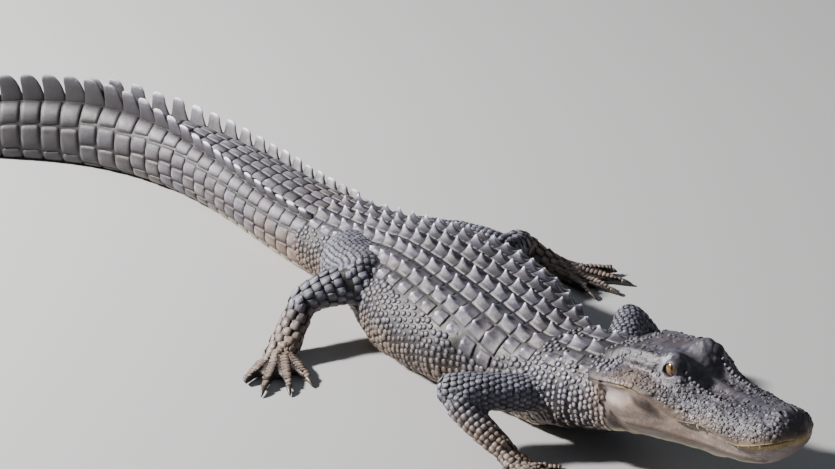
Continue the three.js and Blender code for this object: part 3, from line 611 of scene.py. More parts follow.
# Swellings of the head's sides: height in mm, middle ahead, reach ahead, middle up, reach up. The hollow
# of the jaw is measured up from the mouth.
CHEEK = (6.0, 0.11, 0.085, 0.165, 0.040)
JAW_HOLLOW = (-6.5, 0.265, 0.060, -0.055, 0.030)
PEBBLE_MM, LUMP_MM, CREASE_MM = 7.5, 15.0, 5.0
CREASE_WAY = np.array([0.35, 1.0, 1.6])
SIDE_OUT, RIDGE_WAVES = 0.12, 165.0


def head_relief(at, left, up):
    """Height of the head's fine forms over its smooth shape, in millimetres."""
    points = np.stack([at, left, up], axis=-1) * HEAD_LENGTH
    wide = np.abs(left)
    mouth = size_at(HEAD, "mouth", at)
    above = ease(mouth + 0.012, mouth + 0.045, up)
    below = 1 - ease(mouth - 0.030, mouth - 0.004, up)
    snout = above * ease(0.34, 0.44, at)
    side = above * (1 - ease(0.27, 0.30, up)) * (1 - ease(0.30, 0.42, at))
    near, second = cell_noise(points, PEBBLE_MM)
    pebble = np.sqrt(np.clip(second - near, 0, 0.6))
    near, second = cell_noise(points, LUMP_MM, 4)
    lump = np.clip(second - near, 0, 0.7)
    soft = soft_noise(points, 22.0) + 0.5 * soft_noise(points, 11.0, 2)
    relief = snout * (2.3 * pebble + 1.8 * lump - 1.5 + 1.0 * soft)
    table = above * ease(0.26, 0.30, up) * (1 - ease(0.36, 0.44, at))
    relief = relief + table * (2.8 * lump + 1.2 * soft + 1.3 * pebble - 1.4)
    relief = relief + side * (1.7 * pebble + 1.0 * soft)
    creases = soft_noise(points * CREASE_WAY, CREASE_MM, 5)
    relief = relief + below * (0.75 * creases + 0.6 * pebble + 0.8 * soft_noise(points, 30.0, 6))
    cheek = oval(CHEEK, at, up) * (wide > 0.15)
    hollow = oval(JAW_HOLLOW, at, up - mouth) * (wide > SIDE_OUT)
    corner = -3.2 * bump(up, mouth - 0.008, 0.010) * (1 - ease(0.14, 0.22, at)) * (wide > 0.15)
    jaw_line = -2.6 * bump(up, 0.035 - 0.055 * at, 0.012) * ease(0.06, 0.16, at) * (wide > 0.10)
    ear = (-4.2 * bump(up, ear_line(at), 0.008) * ease(0.02, 0.08, at)
           * (1 - ease(0.26, 0.30, at)) * (wide > SIDE_OUT))
    under_eye = (-2.0 * bump(up, EYE_UP - 0.085 - 0.10 * np.abs(at - EYE_AT), 0.008)
                 * bump(at, EYE_AT + 0.01, 0.06) * (wide > SIDE_OUT))
    ridge_scales = (2.6 * np.clip(np.sin(at * RIDGE_WAVES), 0, 1) * bump(wide, ridge_line(at), 0.010)
                    * ease(0.40, 0.43, at) * (1 - ease(0.58, 0.66, at)) * above)
    back_fold = -5.0 * bump(at, 0.32 * np.abs(up - 0.12), 0.012) * (1 - ease(0.21, 0.26, up))
    return relief + cheek + hollow + corner + jaw_line + ear + under_eye + ridge_scales + back_fold


shape = from_head(rings[..., 0], rings[..., 1], rings[..., 2])
lift = head_relief(rings[..., 0], rings[..., 1], rings[..., 2])
in_slit = np.zeros(around, bool)
in_slit[UPPER_POINTS:UPPER_POINTS + SLIT_POINTS] = True
in_slit[-SLIT_POINTS:] = True
lift[:, in_slit] = 0.0
lift *= ease(-0.06, -0.03, rings[..., 0]) * (1 - 0.7 * ease(0.97, 1.0, rings[..., 0]))
shape = shape + grid_normals(shape) * lift[..., None]

# Behind the skull the rings shrink into the neck, and in front they close over the rounded nose
ROOT_SIZE, NOSE_BULGE_MM = 0.70, 7.0
shrink = np.linspace(0, 1, ROOT_RINGS + 1)[:-1]
middle = shape[0].mean(axis=0)
ahead = HEAD_MATRIX[:3, 0]
root = [middle + (shape[0] - middle) * (ROOT_SIZE + (1 - ROOT_SIZE) * math.sin(s * math.pi / 2))
        + ahead * (HEAD_ROOT - HEAD_BACK) * HEAD_LENGTH * (1 - s) for s in shrink]
nose_middle = shape[-1].mean(axis=0)
nose = [nose_middle + (shape[-1] - nose_middle) * math.cos(s) + ahead * NOSE_BULGE_MM * math.sin(s)
        for s in np.linspace(0, math.pi / 2, NOSE_RINGS + 1)[1:-1]]
head_skin = tube_object("head_skin", np.concatenate([np.array(root), shape, np.array(nose)]))
print("points of the head:", len(head_skin.data.vertices))

# %% Eyelids and nostrils
LID_AROUND, LID_ROWS = 40, 26
HOLE_AROUND, HOLE_ROWS = 24, 14
LID_STRETCH, SOCKET_GAP = 1.04, 0.3
OPENING, OPENING_SHIFT = (14.0, 25.0, 11.2), 0.004
NOSTRIL_HOLE = (7.0, 3.6, 8.0)


def egg(name, at, left, up, semi, columns=LID_AROUND, rows=LID_ROWS):
    """Ball stretched along the head's own directions: cosines and sines of two angles times three radii."""
    high = np.linspace(-math.pi / 2, math.pi / 2, rows)[1:-1][:, None]
    turn = full_turn(columns)[None, :]
    ball = np.stack(np.broadcast_arrays(np.cos(high) * np.cos(turn), np.cos(high) * np.sin(turn),
                                        np.sin(high)), axis=-1) * (np.array(semi) / HEAD_LENGTH)
    ball = ball + np.array([at, left, up])
    return tube_object(name, from_head(ball[..., 0], ball[..., 1], ball[..., 2]))


lid = EYE_RADIUS + EYE_LID
for side in (1, -1):
    eye_out = side * EYE_OUT
    cut_or_add(head_skin, egg("lid", EYE_AT, eye_out, EYE_UP, (lid * LID_STRETCH, lid, lid)), "UNION")
    cut_or_add(head_skin, egg("ball", EYE_AT, eye_out, EYE_UP, (EYE_RADIUS + SOCKET_GAP,) * 3), "DIFFERENCE")
    cut_or_add(head_skin, egg("opening", EYE_AT + OPENING_SHIFT, side * (EYE_OUT + OPENING[1] / HEAD_LENGTH),
                              EYE_UP + OPENING_SHIFT, OPENING), "DIFFERENCE")
    cut_or_add(head_skin, egg("hole", NOSTRIL_AT, side * NOSTRIL_OUT, NOSTRIL_UP, NOSTRIL_HOLE,
                              HOLE_AROUND, HOLE_ROWS), "DIFFERENCE")
print("points of the head with lids and nostrils:", len(head_skin.data.vertices))

# %% [markdown]
# ## Legs and feet
#
# Each leg is two tubes, bent at the elbow or knee, through named joints with their own half widths and
# heights. A smooth path through the joints, the same kind that a pen draws through dots, carries oval
# rings. The feet are a sole with toes fanned out from it, and webs between the hind toes. Everything is
# melted together afterwards, so the tubes may run into each other freely.

# %% Joints of the legs
# Each stop of a limb: along the spine, out to the side, up, half width, half height
JOINTS = {
    "arm_right": [(396, 34, 82, 28, 28), (352, 126, 90, 31, 29),
                  (304, 198, 96, 25, 26), (291, 213, 95, 12, 13)],
    "forearm_right": [(304, 198, 96, 25, 26), (352, 190, 64, 23, 22),
                      (402, 170, 28, 19, 15), (418, 167, 19, 10, 8)],
    "arm_left": [(390, 34, 84, 28, 28), (330, 118, 94, 31, 29),
                 (272, 176, 99, 25, 27), (259, 190, 97, 12, 13)],
    "forearm_left": [(272, 176, 99, 25, 27), (316, 190, 66, 23, 22),
                     (368, 186, 28, 19, 15), (384, 186, 19, 10, 8)],
    "thigh_right": [(-218, 55, 86, 50, 42), (-150, 104, 97, 54, 45),
                    (-82, 121, 103, 43, 40), (-60, 131, 101, 22, 24)],
    "shank_right": [(-82, 121, 103, 43, 40), (-102, 175, 94, 34, 32),
                    (-122, 217, 79, 25, 24), (-130, 232, 71, 14, 13)],
    "thigh_left": [(-218, 52, 78, 50, 42), (-152, 116, 75, 48, 42),
                   (-86, 162, 72, 35, 35), (-66, 174, 69, 16, 17)],
    "shank_left": [(-86, 162, 72, 35, 35), (-102, 200, 64, 31, 31),
                   (-128, 236, 53, 26, 25), (-140, 248, 45, 15, 14)],
}
# Each sole: along the spine, out to the side, up, turn outward in degrees
SOLES = {
    "forearm_right": (430, 168, 11, 2), "forearm_left": (396, 188, 11, 10),
    "shank_right": (-72, 292, 13, 34), "shank_left": (-72, 290, 13, 30),
}
FOREFOOT = {"wide": 27.0, "tall": 13.0, "toes": (44, 56, 60, 50, 38), "fan": (50, 24, 0, -26, -54),
            "radius": 8.5, "claw": 14.0, "sole": 26.0, "web": 0.45}
HINDFOOT = {"wide": 29.0, "tall": 16.0, "toes": (70, 92, 96, 80), "fan": (28, 9, -9, -27),
            "radius": 10.0, "claw": 17.0, "sole": 30.0, "web": 0.74}
CLAWED_TOES = 3
TOE_SPACING, TOE_SINK = 0.42, 16.0
TOE_BENDS = [(0.0, 0.9), (0.35, 1.15), (0.68, 0.95), (1.0, 0.62)]  # share of the length, height in radii
TOE_WIDTHS, TOE_FLATNESS = (1.0, 1.02, 0.92, 0.5), 0.94
WRIST_SHARE, BALL_WIDE, BALL_TALL, SOLE_END_MM, SOLE_END_WIDE, SOLE_END_TALL = 0.95, 1.1, 0.75, 12, 0.6, 0.4
WEB_LOW, WEB_HIGH, WEB_DIP = 1.0, 7.5, 0.72
LIMB_RINGS, LIMB_AROUND = 28, 32
SOLE_RINGS, SOLE_AROUND = 20, 28
TOE_RINGS, TOE_AROUND = 16, 16
UP_WAY = np.array([0.0, 0.0, 1.0])


def side_of(part):
    """1 for a part on the left, -1 for one on the right."""
    return 1 if part.endswith("left") else -1


def pen_path(points, shares):
    """Smooth path through points, given as shares of its number of spans: the centripetal curve, whose
    knots lie apart by the square root of the distance between points."""
    points = np.asarray(points, float)
    full = np.vstack([2 * points[0] - points[1], points, 2 * points[-1] - points[-2]])
    place = shares * (len(points) - 1)
    i = np.clip(place.astype(int), 0, len(points) - 2)
    t = (place - i)[:, None]
    a, b, c, d = (full[i + k] for k in range(4))
    knots = [np.maximum(np.sqrt(np.linalg.norm(q - p, axis=1, keepdims=True)), 1e-4)
             for p, q in ((a, b), (b, c), (c, d))]
    start = ((b - a) / knots[0] - (c - a) / (knots[0] + knots[1]) + (c - b) / knots[1]) * knots[1]
    end = ((c - b) / knots[1] - (d - b) / (knots[1] + knots[2]) + (d - c) / knots[2]) * knots[1]
    return ((2 * t**3 - 3 * t**2 + 1) * b + (t**3 - 2 * t**2 + t) * start
            + (-2 * t**3 + 3 * t**2) * c + (t**3 - t**2) * end)


def limb_frames(stops, shares):
    """Centre, sideways and upward directions, and half width and height along a limb."""
    stops = np.asarray(stops, float)
    centre = pen_path(stops[:, :3], shares)
    nudge = 1e-3
    ahead = unit(pen_path(stops[:, :3], np.minimum(shares + nudge, 1.0))
                 - pen_path(stops[:, :3], np.maximum(shares - nudge, 0.0)))
    side = unit(np.cross(UP_WAY, ahead))
    places = np.linspace(0, 1, len(stops))
    return (centre, ahead, side, np.cross(ahead, side),
            smooth_through(places, stops[:, 3], shares), smooth_through(places, stops[:, 4], shares))


def limb_rings(stops, count, around):
    """Oval rings along a limb: centre plus sideways times cosine and upward times sine."""
    centre, _, side, lift, wide, tall = limb_frames(stops, np.linspace(0, 1, count))
    angle = full_turn(around)
    return (centre[:, None] + side[:, None] * (wide[:, None] * np.cos(angle))[..., None]
            + lift[:, None] * (tall[:, None] * np.sin(angle))[..., None])


def stops_of(name):
    """Joints of a limb part as points of the animal, each with its half width and height."""
    side = side_of(name)
    return [(*from_spine(float(along), float(side * out), float(up)), wide, tall)
            for along, out, up, wide, tall in JOINTS[name]]


# %% Feet
def foot_layout(part):
    """Places of a foot: its heel, its ball and, for each toe, its bends, its direction and its radius."""
    side = side_of(part)
    plan = FOREFOOT if part.startswith("forearm") else HINDFOOT
    along, out, up, heading = SOLES[part]
    start = from_spine(float(along), float(side * out), float(up))
    turn = float(heading_at(along)) + side * math.radians(heading)
    ahead = np.array([math.cos(turn), math.sin(turn), 0.0])
    across = np.array([-math.sin(turn), math.cos(turn), 0.0])
    ball = start + ahead * plan["sole"]
    radius = plan["radius"]
    toes = []
    for toe, length in enumerate(plan["toes"]):
        way_turn = turn - side * math.radians(plan["fan"][toe])
        way = np.array([math.cos(way_turn), math.sin(way_turn), 0.0])
        offset = -side * ((len(plan["toes"]) - 1) / 2 - toe) * plan["wide"] * TOE_SPACING
        base = ball + across * offset - ahead * TOE_SINK
        bends = [(base + way * length * share) * (1, 1, 0) + (0, 0, radius * rise)
                 for share, rise in TOE_BENDS]
        toes.append((bends, way, radius))
    return plan, start, ball, ahead, toes


def sole_stops(part):
    """Stops of a foot from the wrist or ankle to the ball."""
    plan, start, ball, _, _ = foot_layout(part)
    x, y, z, wide, tall = stops_of(part)[2]
    return [(x, y, z, wide * WRIST_SHARE, tall * WRIST_SHARE), (*start, plan["wide"], plan["tall"]),
            (*ball, plan["wide"] * BALL_WIDE, plan["tall"] * BALL_TALL)]


def foot_tubes(part):
    """Rings of the closed tubes of a foot: the sole, the toes and the flat webs between the toes."""
    plan, _, ball, ahead, toes = foot_layout(part)
    end = (*(ball + ahead * SOLE_END_MM), plan["wide"] * SOLE_END_WIDE, plan["tall"] * SOLE_END_TALL)
    tubes = [limb_rings(sole_stops(part) + [end], SOLE_RINGS, SOLE_AROUND)]
    for bends, _, radius in toes:
        stops = [(*p, radius * w, radius * w * TOE_FLATNESS) for p, w in zip(bends, TOE_WIDTHS)]
        tubes.append(limb_rings(stops, TOE_RINGS, TOE_AROUND))
    for (one, _, _), (other, _, _) in zip(toes[:-1], toes[1:]):
        far_one, far_other = (bends[0] + (bends[3] - bends[0]) * plan["web"] for bends in (one, other))
        root = (one[0] + other[0]) / 2
        dip = root + ((far_one + far_other) / 2 - root) * WEB_DIP
        outline = np.array([one[0], far_one, dip, far_other, other[0]])
        tubes.append(np.stack([outline * (1, 1, 0) + (0, 0, z) for z in (WEB_HIGH, WEB_LOW)]))
    return tubes


flesh = [limb_rings(stops_of(name), LIMB_RINGS, LIMB_AROUND) for name in JOINTS]
for part in SOLES:
    flesh += foot_tubes(part)
print("pieces of the legs and feet:", len(flesh))

# %% [markdown]
# ## One skin
#
# Tubes that only run into each other would show hard creases at the hips and shoulders. Instead they
# are poured into small cubes and skinned again, which a voxel remesh does, and the new skin is relaxed
# so that it flows from the body into the legs. The head has finer forms than the cubes can hold, so it
# is joined on afterwards as it is, and only the seam on the neck is relaxed.

# %% Melt body and legs into one skin
BODY_RINGS, BODY_AROUND = 330, 96
VOXEL_MM, MELT_ROUNDS = 5.3, 4
NECK_END = 536.0
NECK_FOLD_MM = 19.0

body_at = np.linspace(TAIL_TIP, NECK_END, BODY_RINGS)[:, None]
flesh.append(hide_point(body_at, full_turn(BODY_AROUND)[None, :]))
skin = joined("hide", flesh)
melt = skin.modifiers.new("melt", "REMESH")
melt.mode = "VOXEL"
melt.voxel_size = VOXEL_MM * MM
melt.adaptivity = 0.0
apply_modifiers(skin)
print("points after melting:", len(skin.data.vertices))

skin_points = relax(points_of(skin), edges_of(skin), MELT_ROUNDS)
set_points(skin, skin_points)


def body_relief(points):
    """Height of folds and unevenness of the body's skin, in millimetres."""
    along, left = to_spine(points)
    side = ease(0.35, 0.75, np.abs(left) / np.maximum(size_at(BODY, "half", along), 1.0))
    trunk = ease(-330, -250, along) * (1 - ease(500, 540, along))
    ripple = soft_noise(np.stack([along, points[:, 2] * 0.45, left * 0.2], axis=-1), 15.0, 8)
    neck_fold = np.sin((along + 5.0 * soft_noise(points, 30.0, 9)) * 2 * math.pi / NECK_FOLD_MM)
    neck = ease(370, 430, along) * (1 - ease(500, 530, along)) * side
    soft = soft_noise(points, 38.0, 10)
    return 1.1 * soft + 1.5 * ripple * side * trunk + 1.5 * neck_fold * neck


outward = numbers_of(skin.data.vertices, "normal", 3)
set_points(skin, over_floor(skin_points + outward * body_relief(skin_points)[:, None]))

cut_or_add(skin, head_skin, "UNION")
print("points of the skin:", len(skin.data.vertices), "faces:", len(skin.data.polygons))

# %% Relax the seam on the neck and round the eyes
LID_SOFT, LID_END, RIM_SOFT, RIM_END = 4.0, 9.0, 9.0, 14.0


def far_from(points, at, out, up):
    """Distance in millimetres from points to the nearer one of a pair of spots, left and right on the
    head."""
    ahead, left, high = to_head(points).T
    return np.sqrt((ahead - at)**2 + (np.abs(left) - out)**2 + (high - up)**2) * HEAD_LENGTH


skin_points = points_of(skin)
share = to_head(skin_points)
seam = ease(-0.20, -0.12, share[:, 0]) * (1 - ease(-0.05, 0.0, share[:, 0]))
eye_far = far_from(skin_points, EYE_AT, EYE_OUT, EYE_UP)
lids = 0.8 * (1 - ease(EYE_RADIUS + LID_SOFT, EYE_RADIUS + LID_END, eye_far))
nostril_far = np.sqrt((share[:, 0] - NOSTRIL_AT)**2 + (np.abs(share[:, 1]) - NOSTRIL_OUT)**2) * HEAD_LENGTH
rims = 0.6 * (1 - ease(RIM_SOFT, RIM_END, nostril_far))
nose_tip = 0.9 * ease(0.975, 0.992, share[:, 0])
for rounds, weight in ((3, np.maximum(seam, rims)), (2, lids), (14, nose_tip)):
    skin_points = relax(skin_points, edges_of(skin), rounds, weight)
set_points(skin, over_floor(skin_points))
shade_smooth(skin.data)

# %% [markdown]
# ## A chart of the body for scales
#
# Scales follow the body, so they need addresses on it: how far along the spine, and how far round from
# the middle of the back, both in millimetres. A table of the distance round the hide at many places
# turns such an address into a point. It also gives each scale its spot on the map named OFBake, an unwrap
# of the skin's own shape: the body unrolled flat, the head beside it and each leg in a strip of its own.

# %% Chart of the hide
CHART_RINGS, CHART_STEPS = 440, 97

chart_at = np.linspace(TAIL_TIP, NECK_END, CHART_RINGS)
chart_angle = np.linspace(math.pi / 2, -math.pi / 2, CHART_STEPS)
chart_shape = hide_point(chart_at[:, None], chart_angle[None, :])
chart_walk = np.cumsum(np.linalg.norm(np.diff(chart_shape, axis=1), axis=-1), axis=1)
chart_walk = np.concatenate([np.zeros((CHART_RINGS, 1)), chart_walk], axis=1)
chart_girth = chart_walk[:, -1]
chart_gap = chart_at[1] - chart_at[0]
SHARES = np.linspace(0, 1, CHART_STEPS)
chart_turn = np.stack([np.interp(SHARES, w / w[-1], chart_angle) for w in chart_walk])


def girth_at(along):
    """Distance from the middle of the back round one side to the middle of the belly."""
    return np.interp(along, chart_at, chart_girth)


def angle_of(along, round_mm):
    """Angle of a signed distance round from the middle of the back, left being positive."""
    share = np.clip(np.abs(round_mm) / girth_at(along), 0, 1) * (CHART_STEPS - 1)
    row = np.clip((along - chart_at[0]) / chart_gap, 0, CHART_RINGS - 1.001)
    i, j = row.astype(int), np.minimum(share.astype(int), CHART_STEPS - 2)
    u, v = row - i, share - j
    angle = ((1 - u) * (1 - v) * chart_turn[i, j] + u * (1 - v) * chart_turn[i + 1, j]
             + (1 - u) * v * chart_turn[i, j + 1] + u * v * chart_turn[i + 1, j + 1])
    return np.where(round_mm >= 0, angle, math.pi - angle)


def on_body(along, round_mm, high=0.0):
    """Point over the hide at an address, raised along the outward direction there."""
    along, round_mm, high = np.broadcast_arrays(np.asarray(along, float), round_mm, high)
    angle = angle_of(along, round_mm)
    point = hide_point(along, angle)
    ahead = hide_point(along + 1.0, angle) - point
    turned = hide_point(along, angle + 0.01) - point
    return point + unit(np.cross(turned, ahead)) * high[..., None]


def round_of(along, left):
    """Distance round from the middle of the back to the place on the back that lies out to the left."""
    angle = np.arccos(np.clip(signed_power(left / size_at(BODY, "half", along), 1 / SIDE_POWER), -1, 1))
    angle = np.where(np.asarray(left) >= 0, angle, math.pi - angle)
    row = np.clip(((along - chart_at[0]) / chart_gap).astype(int), 0, CHART_RINGS - 1)
    walk = np.array([np.interp(a, t[::-1], s[::-1] * g) for a, t, s, g
                     in zip(angle, chart_turn[row], np.tile(SHARES, (len(row), 1)), chart_girth[row])])
    return np.sign(left) * walk


def map_of_body(along, round_mm):
    """Place on the unwrap: along the body, and round it in the lower part of the map."""
    across = (along - TAIL_TIP) / (NECK_END - TAIL_TIP)
    return np.stack([0.02 + 0.96 * across, 0.30 + 0.27 * round_mm / girth_at(along)], axis=-1)


print("girth at the belly:", round(float(2 * girth_at(30.0))), "mm")

# %% [markdown]
# ## The shape of one scale
#
# Every kind of scale is a small closed lid: a grid or disc of points over the skin, with its rim sunk
# below it and a point underneath that closes it. Thousands of them share one list of faces, and only
# their places and sizes differ, so whole arrays of scales are made at once and joined in one mesh.
# Each point also keeps how high it stands on its scale, which the material paints as dark rims of painted
# shade and pale tops of wear and painted highlight, and a tone drawn once for each scale.

# %% Templates and the function that lays scales
BAKE_PATCH = 0.003
CLOSING_DEPTH = 1.3
coat = []


def disc_template(around, rings, heights):
    """Round lid: a middle point, rings at given shares of the radius with given heights, and a closing
    point below. Gives the two flat coordinates, the height share, and the triangles and quads."""
    angle, shares = full_turn(around), np.array(rings)[:, None]
    u, v = (np.concatenate([[0.0], (shares * wave(angle)).ravel(), [0.0]]) for wave in (np.cos, np.sin))
    high = np.concatenate([heights[:1], np.repeat(heights[1:], around), [heights[-1] * CLOSING_DEPTH]])
    j = np.arange(around)
    after = (j + 1) % around
    a = 1 + np.arange(len(rings) - 1)[:, None] * around
    quads = np.stack([a + j, a + around + j, a + around + after, a + after], axis=-1).reshape(-1, 4)
    rim, last = 1 + (len(rings) - 1) * around, len(u) - 1
    triangles = np.vstack([np.column_stack([0 * j, 1 + j, 1 + after]),
                           np.column_stack([0 * j + last, rim + after, rim + j])])
    return u, v, high, (triangles, quads)


def plate_template(ticks_u, ticks_v, roundness):
    """Plate: a grid squeezed towards a round outline, whose border is its rim, and a point below. Gives
    the two flat coordinates, which points are rim, and the triangles and quads."""
    u, v = np.meshgrid(ticks_u, ticks_v, indexing="ij")
    squeezed_u = u * np.sqrt(1 - roundness * v**2 / 2)
    squeezed_v = v * np.sqrt(1 - roundness * u**2 / 2)
    rows, columns = u.shape
    number = np.arange(rows * columns).reshape(rows, columns)
    quads = np.stack([number[:-1, :-1], number[1:, :-1], number[1:, 1:], number[:-1, 1:]], axis=-1)
    border = np.concatenate([number[:-1, 0], number[-1, :-1], number[:0:-1, -1], number[0, :0:-1]])
    triangles = np.column_stack([0 * border + rows * columns, np.roll(border, -1), border])
    rim = np.zeros((rows, columns), bool)
    rim[[0, -1], :] = True
    rim[:, [0, -1]] = True
    return (np.append(squeezed_u.ravel(), 0.0), np.append(squeezed_v.ravel(), 0.0),
            np.append(rim.ravel(), True), (triangles, quads.reshape(-1, 4)))


def map_patches(points, spots):
    """Place of each point on the map: its two coordinates in its scale's own plane, shrunk so that the
    scale fills a small patch round its spot."""
    middle = points.mean(axis=1, keepdims=True)
    reach = np.linalg.norm(points - middle, axis=-1).max(axis=1)
    axis_u = unit(points[:, 1] - middle[:, 0])
    normal = unit(np.cross(axis_u, points[:, points.shape[1] // 2] - middle[:, 0] + 1e-3))
    axis_v = np.cross(normal, axis_u)
    flat = np.stack([np.einsum("npk,nk->np", points - middle, axis) for axis in (axis_u, axis_v)], axis=-1)
    return flat / reach[:, None, None] * BAKE_PATCH / 2 + spots[:, None, :]


def scale_mesh(name, points, faces, spots, high, tint, slot):
    """One joined mesh of many scales. points has a row of template points for each scale, spots the place
    of each scale on the map, high the height share of each point and tint the shade of each scale."""
    many, per = points.shape[:2]
    points = over_floor(points.reshape(-1, 3)).reshape(points.shape)
    starts = np.arange(many)[:, None, None] * per
    tables = [(table + starts).reshape(-1, table.shape[1]) for table in faces]
    obj = new_object(name, points.reshape(-1, 3), tables)
    corners = numbers_of(obj.data.loops, "vertex_index", 1, int).ravel()
    layer = obj.data.uv_layers.new(name="OFBake")
    layer.data.foreach_set("uv", map_patches(points, spots).reshape(-1, 2)[corners].ravel())
    add_attribute(obj, "relief", np.broadcast_to(high, (many, per)).ravel())
    add_attribute(obj, "tint", np.repeat(tint, per))
    add_markings(obj)
    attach(obj, "root")
    coat.append((obj, slot))
    print(name, "scales:", many, "triangles:", sum(len(t) * (t.shape[1] - 2) for t in tables))


def add_attribute(obj, name, values):
    """One number at each point of the mesh, for the material to read."""
    layer = obj.data.attributes.new(name, "FLOAT", "POINT")
    layer.data.foreach_set("value", np.asarray(values, np.float32))


# %% [markdown]
# ## Markings
#
# Skin and scales must carry the same colours, or the scales would look glued on. So the markings are
# functions of the place on the animal: brown low on the sides, cream under
# the belly and throat, dark on the wet-looking snout, and yellow along the lips. The same dark marking
# also carries painted shade: in the hollows in front of the eyes, in the slits of the ears and the mouth,
# and over the end of the tail. Both the skin and every
# scale ask the same functions, and keep the answers as numbers at their points.

# %% Markings as functions of place
LIP_FRONT = 0.955


def markings(points):
    """Shares of brown, cream, dark skin with painted shade, and lip yellow at points of the animal, each
    from 0 to 1.
    """
    along, left = to_spine(points)
    share = to_head(points)
    at, wide, up = share[:, 0], np.abs(share[:, 1]), share[:, 2]
    on_head = ease(-0.12, -0.02, at)
    z = points[:, 2] + 7.0 * soft_noise(points, 45.0, 20)
    low = 1 - ease(48.0, 100.0, z)
    trunk = ease(-520, -380, along)
    brown_body = (0.75 * low + 0.12) * trunk + 0.25 * (1 - trunk) * low
    mouth = size_at(HEAD, "mouth", np.clip(at, -0.06, 1.0))
    brown_head = 1 - ease(mouth + 0.005, mouth + 0.09, up + 0.02 * soft_noise(points, 30.0, 21))
    brown_head = np.maximum(0.85 * brown_head, 0.12)
    brown_neck = 0.75 * bump(along, 520, 70) * (1 - ease(100, 175, z))
    brown = np.clip((1 - on_head) * np.maximum(brown_body, brown_neck) + on_head * brown_head, 0, 1)
    half = np.maximum(size_at(BODY, "half", along), 1.0)
    beneath = (1 - ease(8.0, 34.0, z)) * (1 - ease(0.93, 1.06, np.abs(left) / half))
    beneath = beneath * (0.2 + 0.8 * ease(-750, -500, along))
    throat = 1 - ease(-0.075, -0.020, up)
    cream = np.clip((1 - on_head) * beneath + on_head * throat, 0, 1)
    dark_and_shade = on_head * ease(0.80, 1.0, at) * ease(mouth, mouth + 0.03, up) * 0.10
    # Painted shade: the hollows on the snout in front of the eyes are darkened as if in shadow.
    dark_and_shade = dark_and_shade + on_head * 0.35 * bump(wide, 0.06, 0.05) * bump(at, 0.50, 0.10) * ease(0.18, 0.22, up)
    # Painted shade: the tail darkens towards its end, as the shaded end of the real tail does.
    dark_and_shade = dark_and_shade + (1 - on_head) * (1 - ease(-1120, -640, along)) * 0.95
    # Painted shade in the slit of each ear, along the groove cut there.
    ear = bump(up, ear_line(at), 0.010) * ease(0.04, 0.10, at) * (1 - ease(0.27, 0.31, at))
    dark_and_shade = dark_and_shade + on_head * 1.1 * ear * (wide > SIDE_OUT)
    # Painted shade inside the slit of the mouth, which is darkened almost to black.
    outer_half = size_at(HEAD, "half", np.clip(at, -0.06, 1.0)) - JAW_INSET - 0.006
    inside = (wide < outer_half) & (np.abs(up - mouth) < 0.014) & (at > CORNER_AT) & (at < LIP_FRONT)
    dark_and_shade = np.where(inside, 1.2, dark_and_shade)
    band = 0.0075 + 0.011 * ease(0.70, 0.88, at)
    lip = on_head * ease(CORNER_AT - 0.08, CORNER_AT, at) * bump(up, mouth - 0.5 * band, band)
    lip = lip * ((wide > outer_half) | (at > LIP_FRONT))
    return brown, cream, np.clip(dark_and_shade, 0, 1), np.clip(lip, 0, 1)


def add_markings(obj):
    """Keeps the markings at each point of a piece."""
    for name, values in zip(("brown", "cream", "dark_and_shade", "lip"), markings(points_of(obj))):
        add_attribute(obj, name, values)


add_markings(skin)
skin_points = points_of(skin)
share = to_head(skin_points)
at, wide, up = share.T
head_share = ease(-0.10, 0.0, at)
# The skin's colour height: low on the body, as painted shade in the seams between scales. On the head it
# follows the relief, darker in pits and paler on lumps, as painted shade and painted highlight, and darker
# at the eye's edge, as painted shade in the socket; a paler ring lies round the lid and the jaw below the
# mouth is paler skin.
height_shading = np.clip(head_relief(at, wide, up), -4, 4) * 0.085
eye_far = far_from(skin_points, EYE_AT, EYE_OUT, EYE_UP)
lid_edge_shade = 0.34 * (1 - ease(EYE_RADIUS + 0.6, EYE_RADIUS + 3.2, eye_far))
lid_rim = 0.16 * bump(eye_far, EYE_RADIUS + 5.0, 2.0)
mouth = size_at(HEAD, "mouth", np.clip(at, -0.06, 1.0))
jaw_pale = 0.18 * (1 - ease(-0.02, 0.02, up - mouth))
add_attribute(skin, "relief", 0.13 + head_share * (0.33 + height_shading + jaw_pale - lid_edge_shade + lid_rim))
add_attribute(skin, "tint", np.full(len(skin.data.vertices), 0.5))

# %% [markdown]
# ## Keeled scutes of the back
#
# The back carries even rows of bony plates from the shoulders to the hips. Each is a slightly domed
# plate whose keel climbs slowly from the front edge to a point near the back edge and then falls steeply.
# The sides of the keel are hollow, like a tent, and that hollow is what catches the light.

# %% Back and neck scutes
BACK_FIRST, BACK_STEP, BACK_COUNT = 330, 36, 19
BACK = columns_of(("at", "pitch", "columns", "keel"),
                  [(-320, 27, 2, 14), (-200, 31, 2, 16), (-130, 33, 3, 17), (60, 35, 3, 17),
                   (235, 34, 3, 16), (270, 33, 2.4, 16), (330, 30, 2, 14)])
NECK_SCUTES = [(442, 21, 36, 36, 14), (404, 23, 38, 40, 14), (420, 57, 32, 30, 11),
               (484, 16, 18, 20, 9), (480, 42, 18, 20, 9), (456, 66, 20, 20, 7), (386, 66, 24, 24, 8),
               (372, 22, 22, 30, 7), (500, 30, 14, 16, 6)]
SCUTE_SINK, SCUTE_RIM = 3.5, 1.3
KEEL_PEAK, KEEL_BACK = -0.62, -1.0
KEEL_HOLLOW = 2.1
SCUTE_VARY, SCUTE_TURN, SCUTE_WANDER = 0.12, math.radians(3.0), 0.10
OUTER_SHARE, OUTER_LENGTH, OUTER_KEEL = 0.64, 0.74, 0.55
BACK_STRETCH, BACK_LENGTH, BACK_WIDTH, KEEL_FALL = 1.30, 0.995, 0.985, 0.12

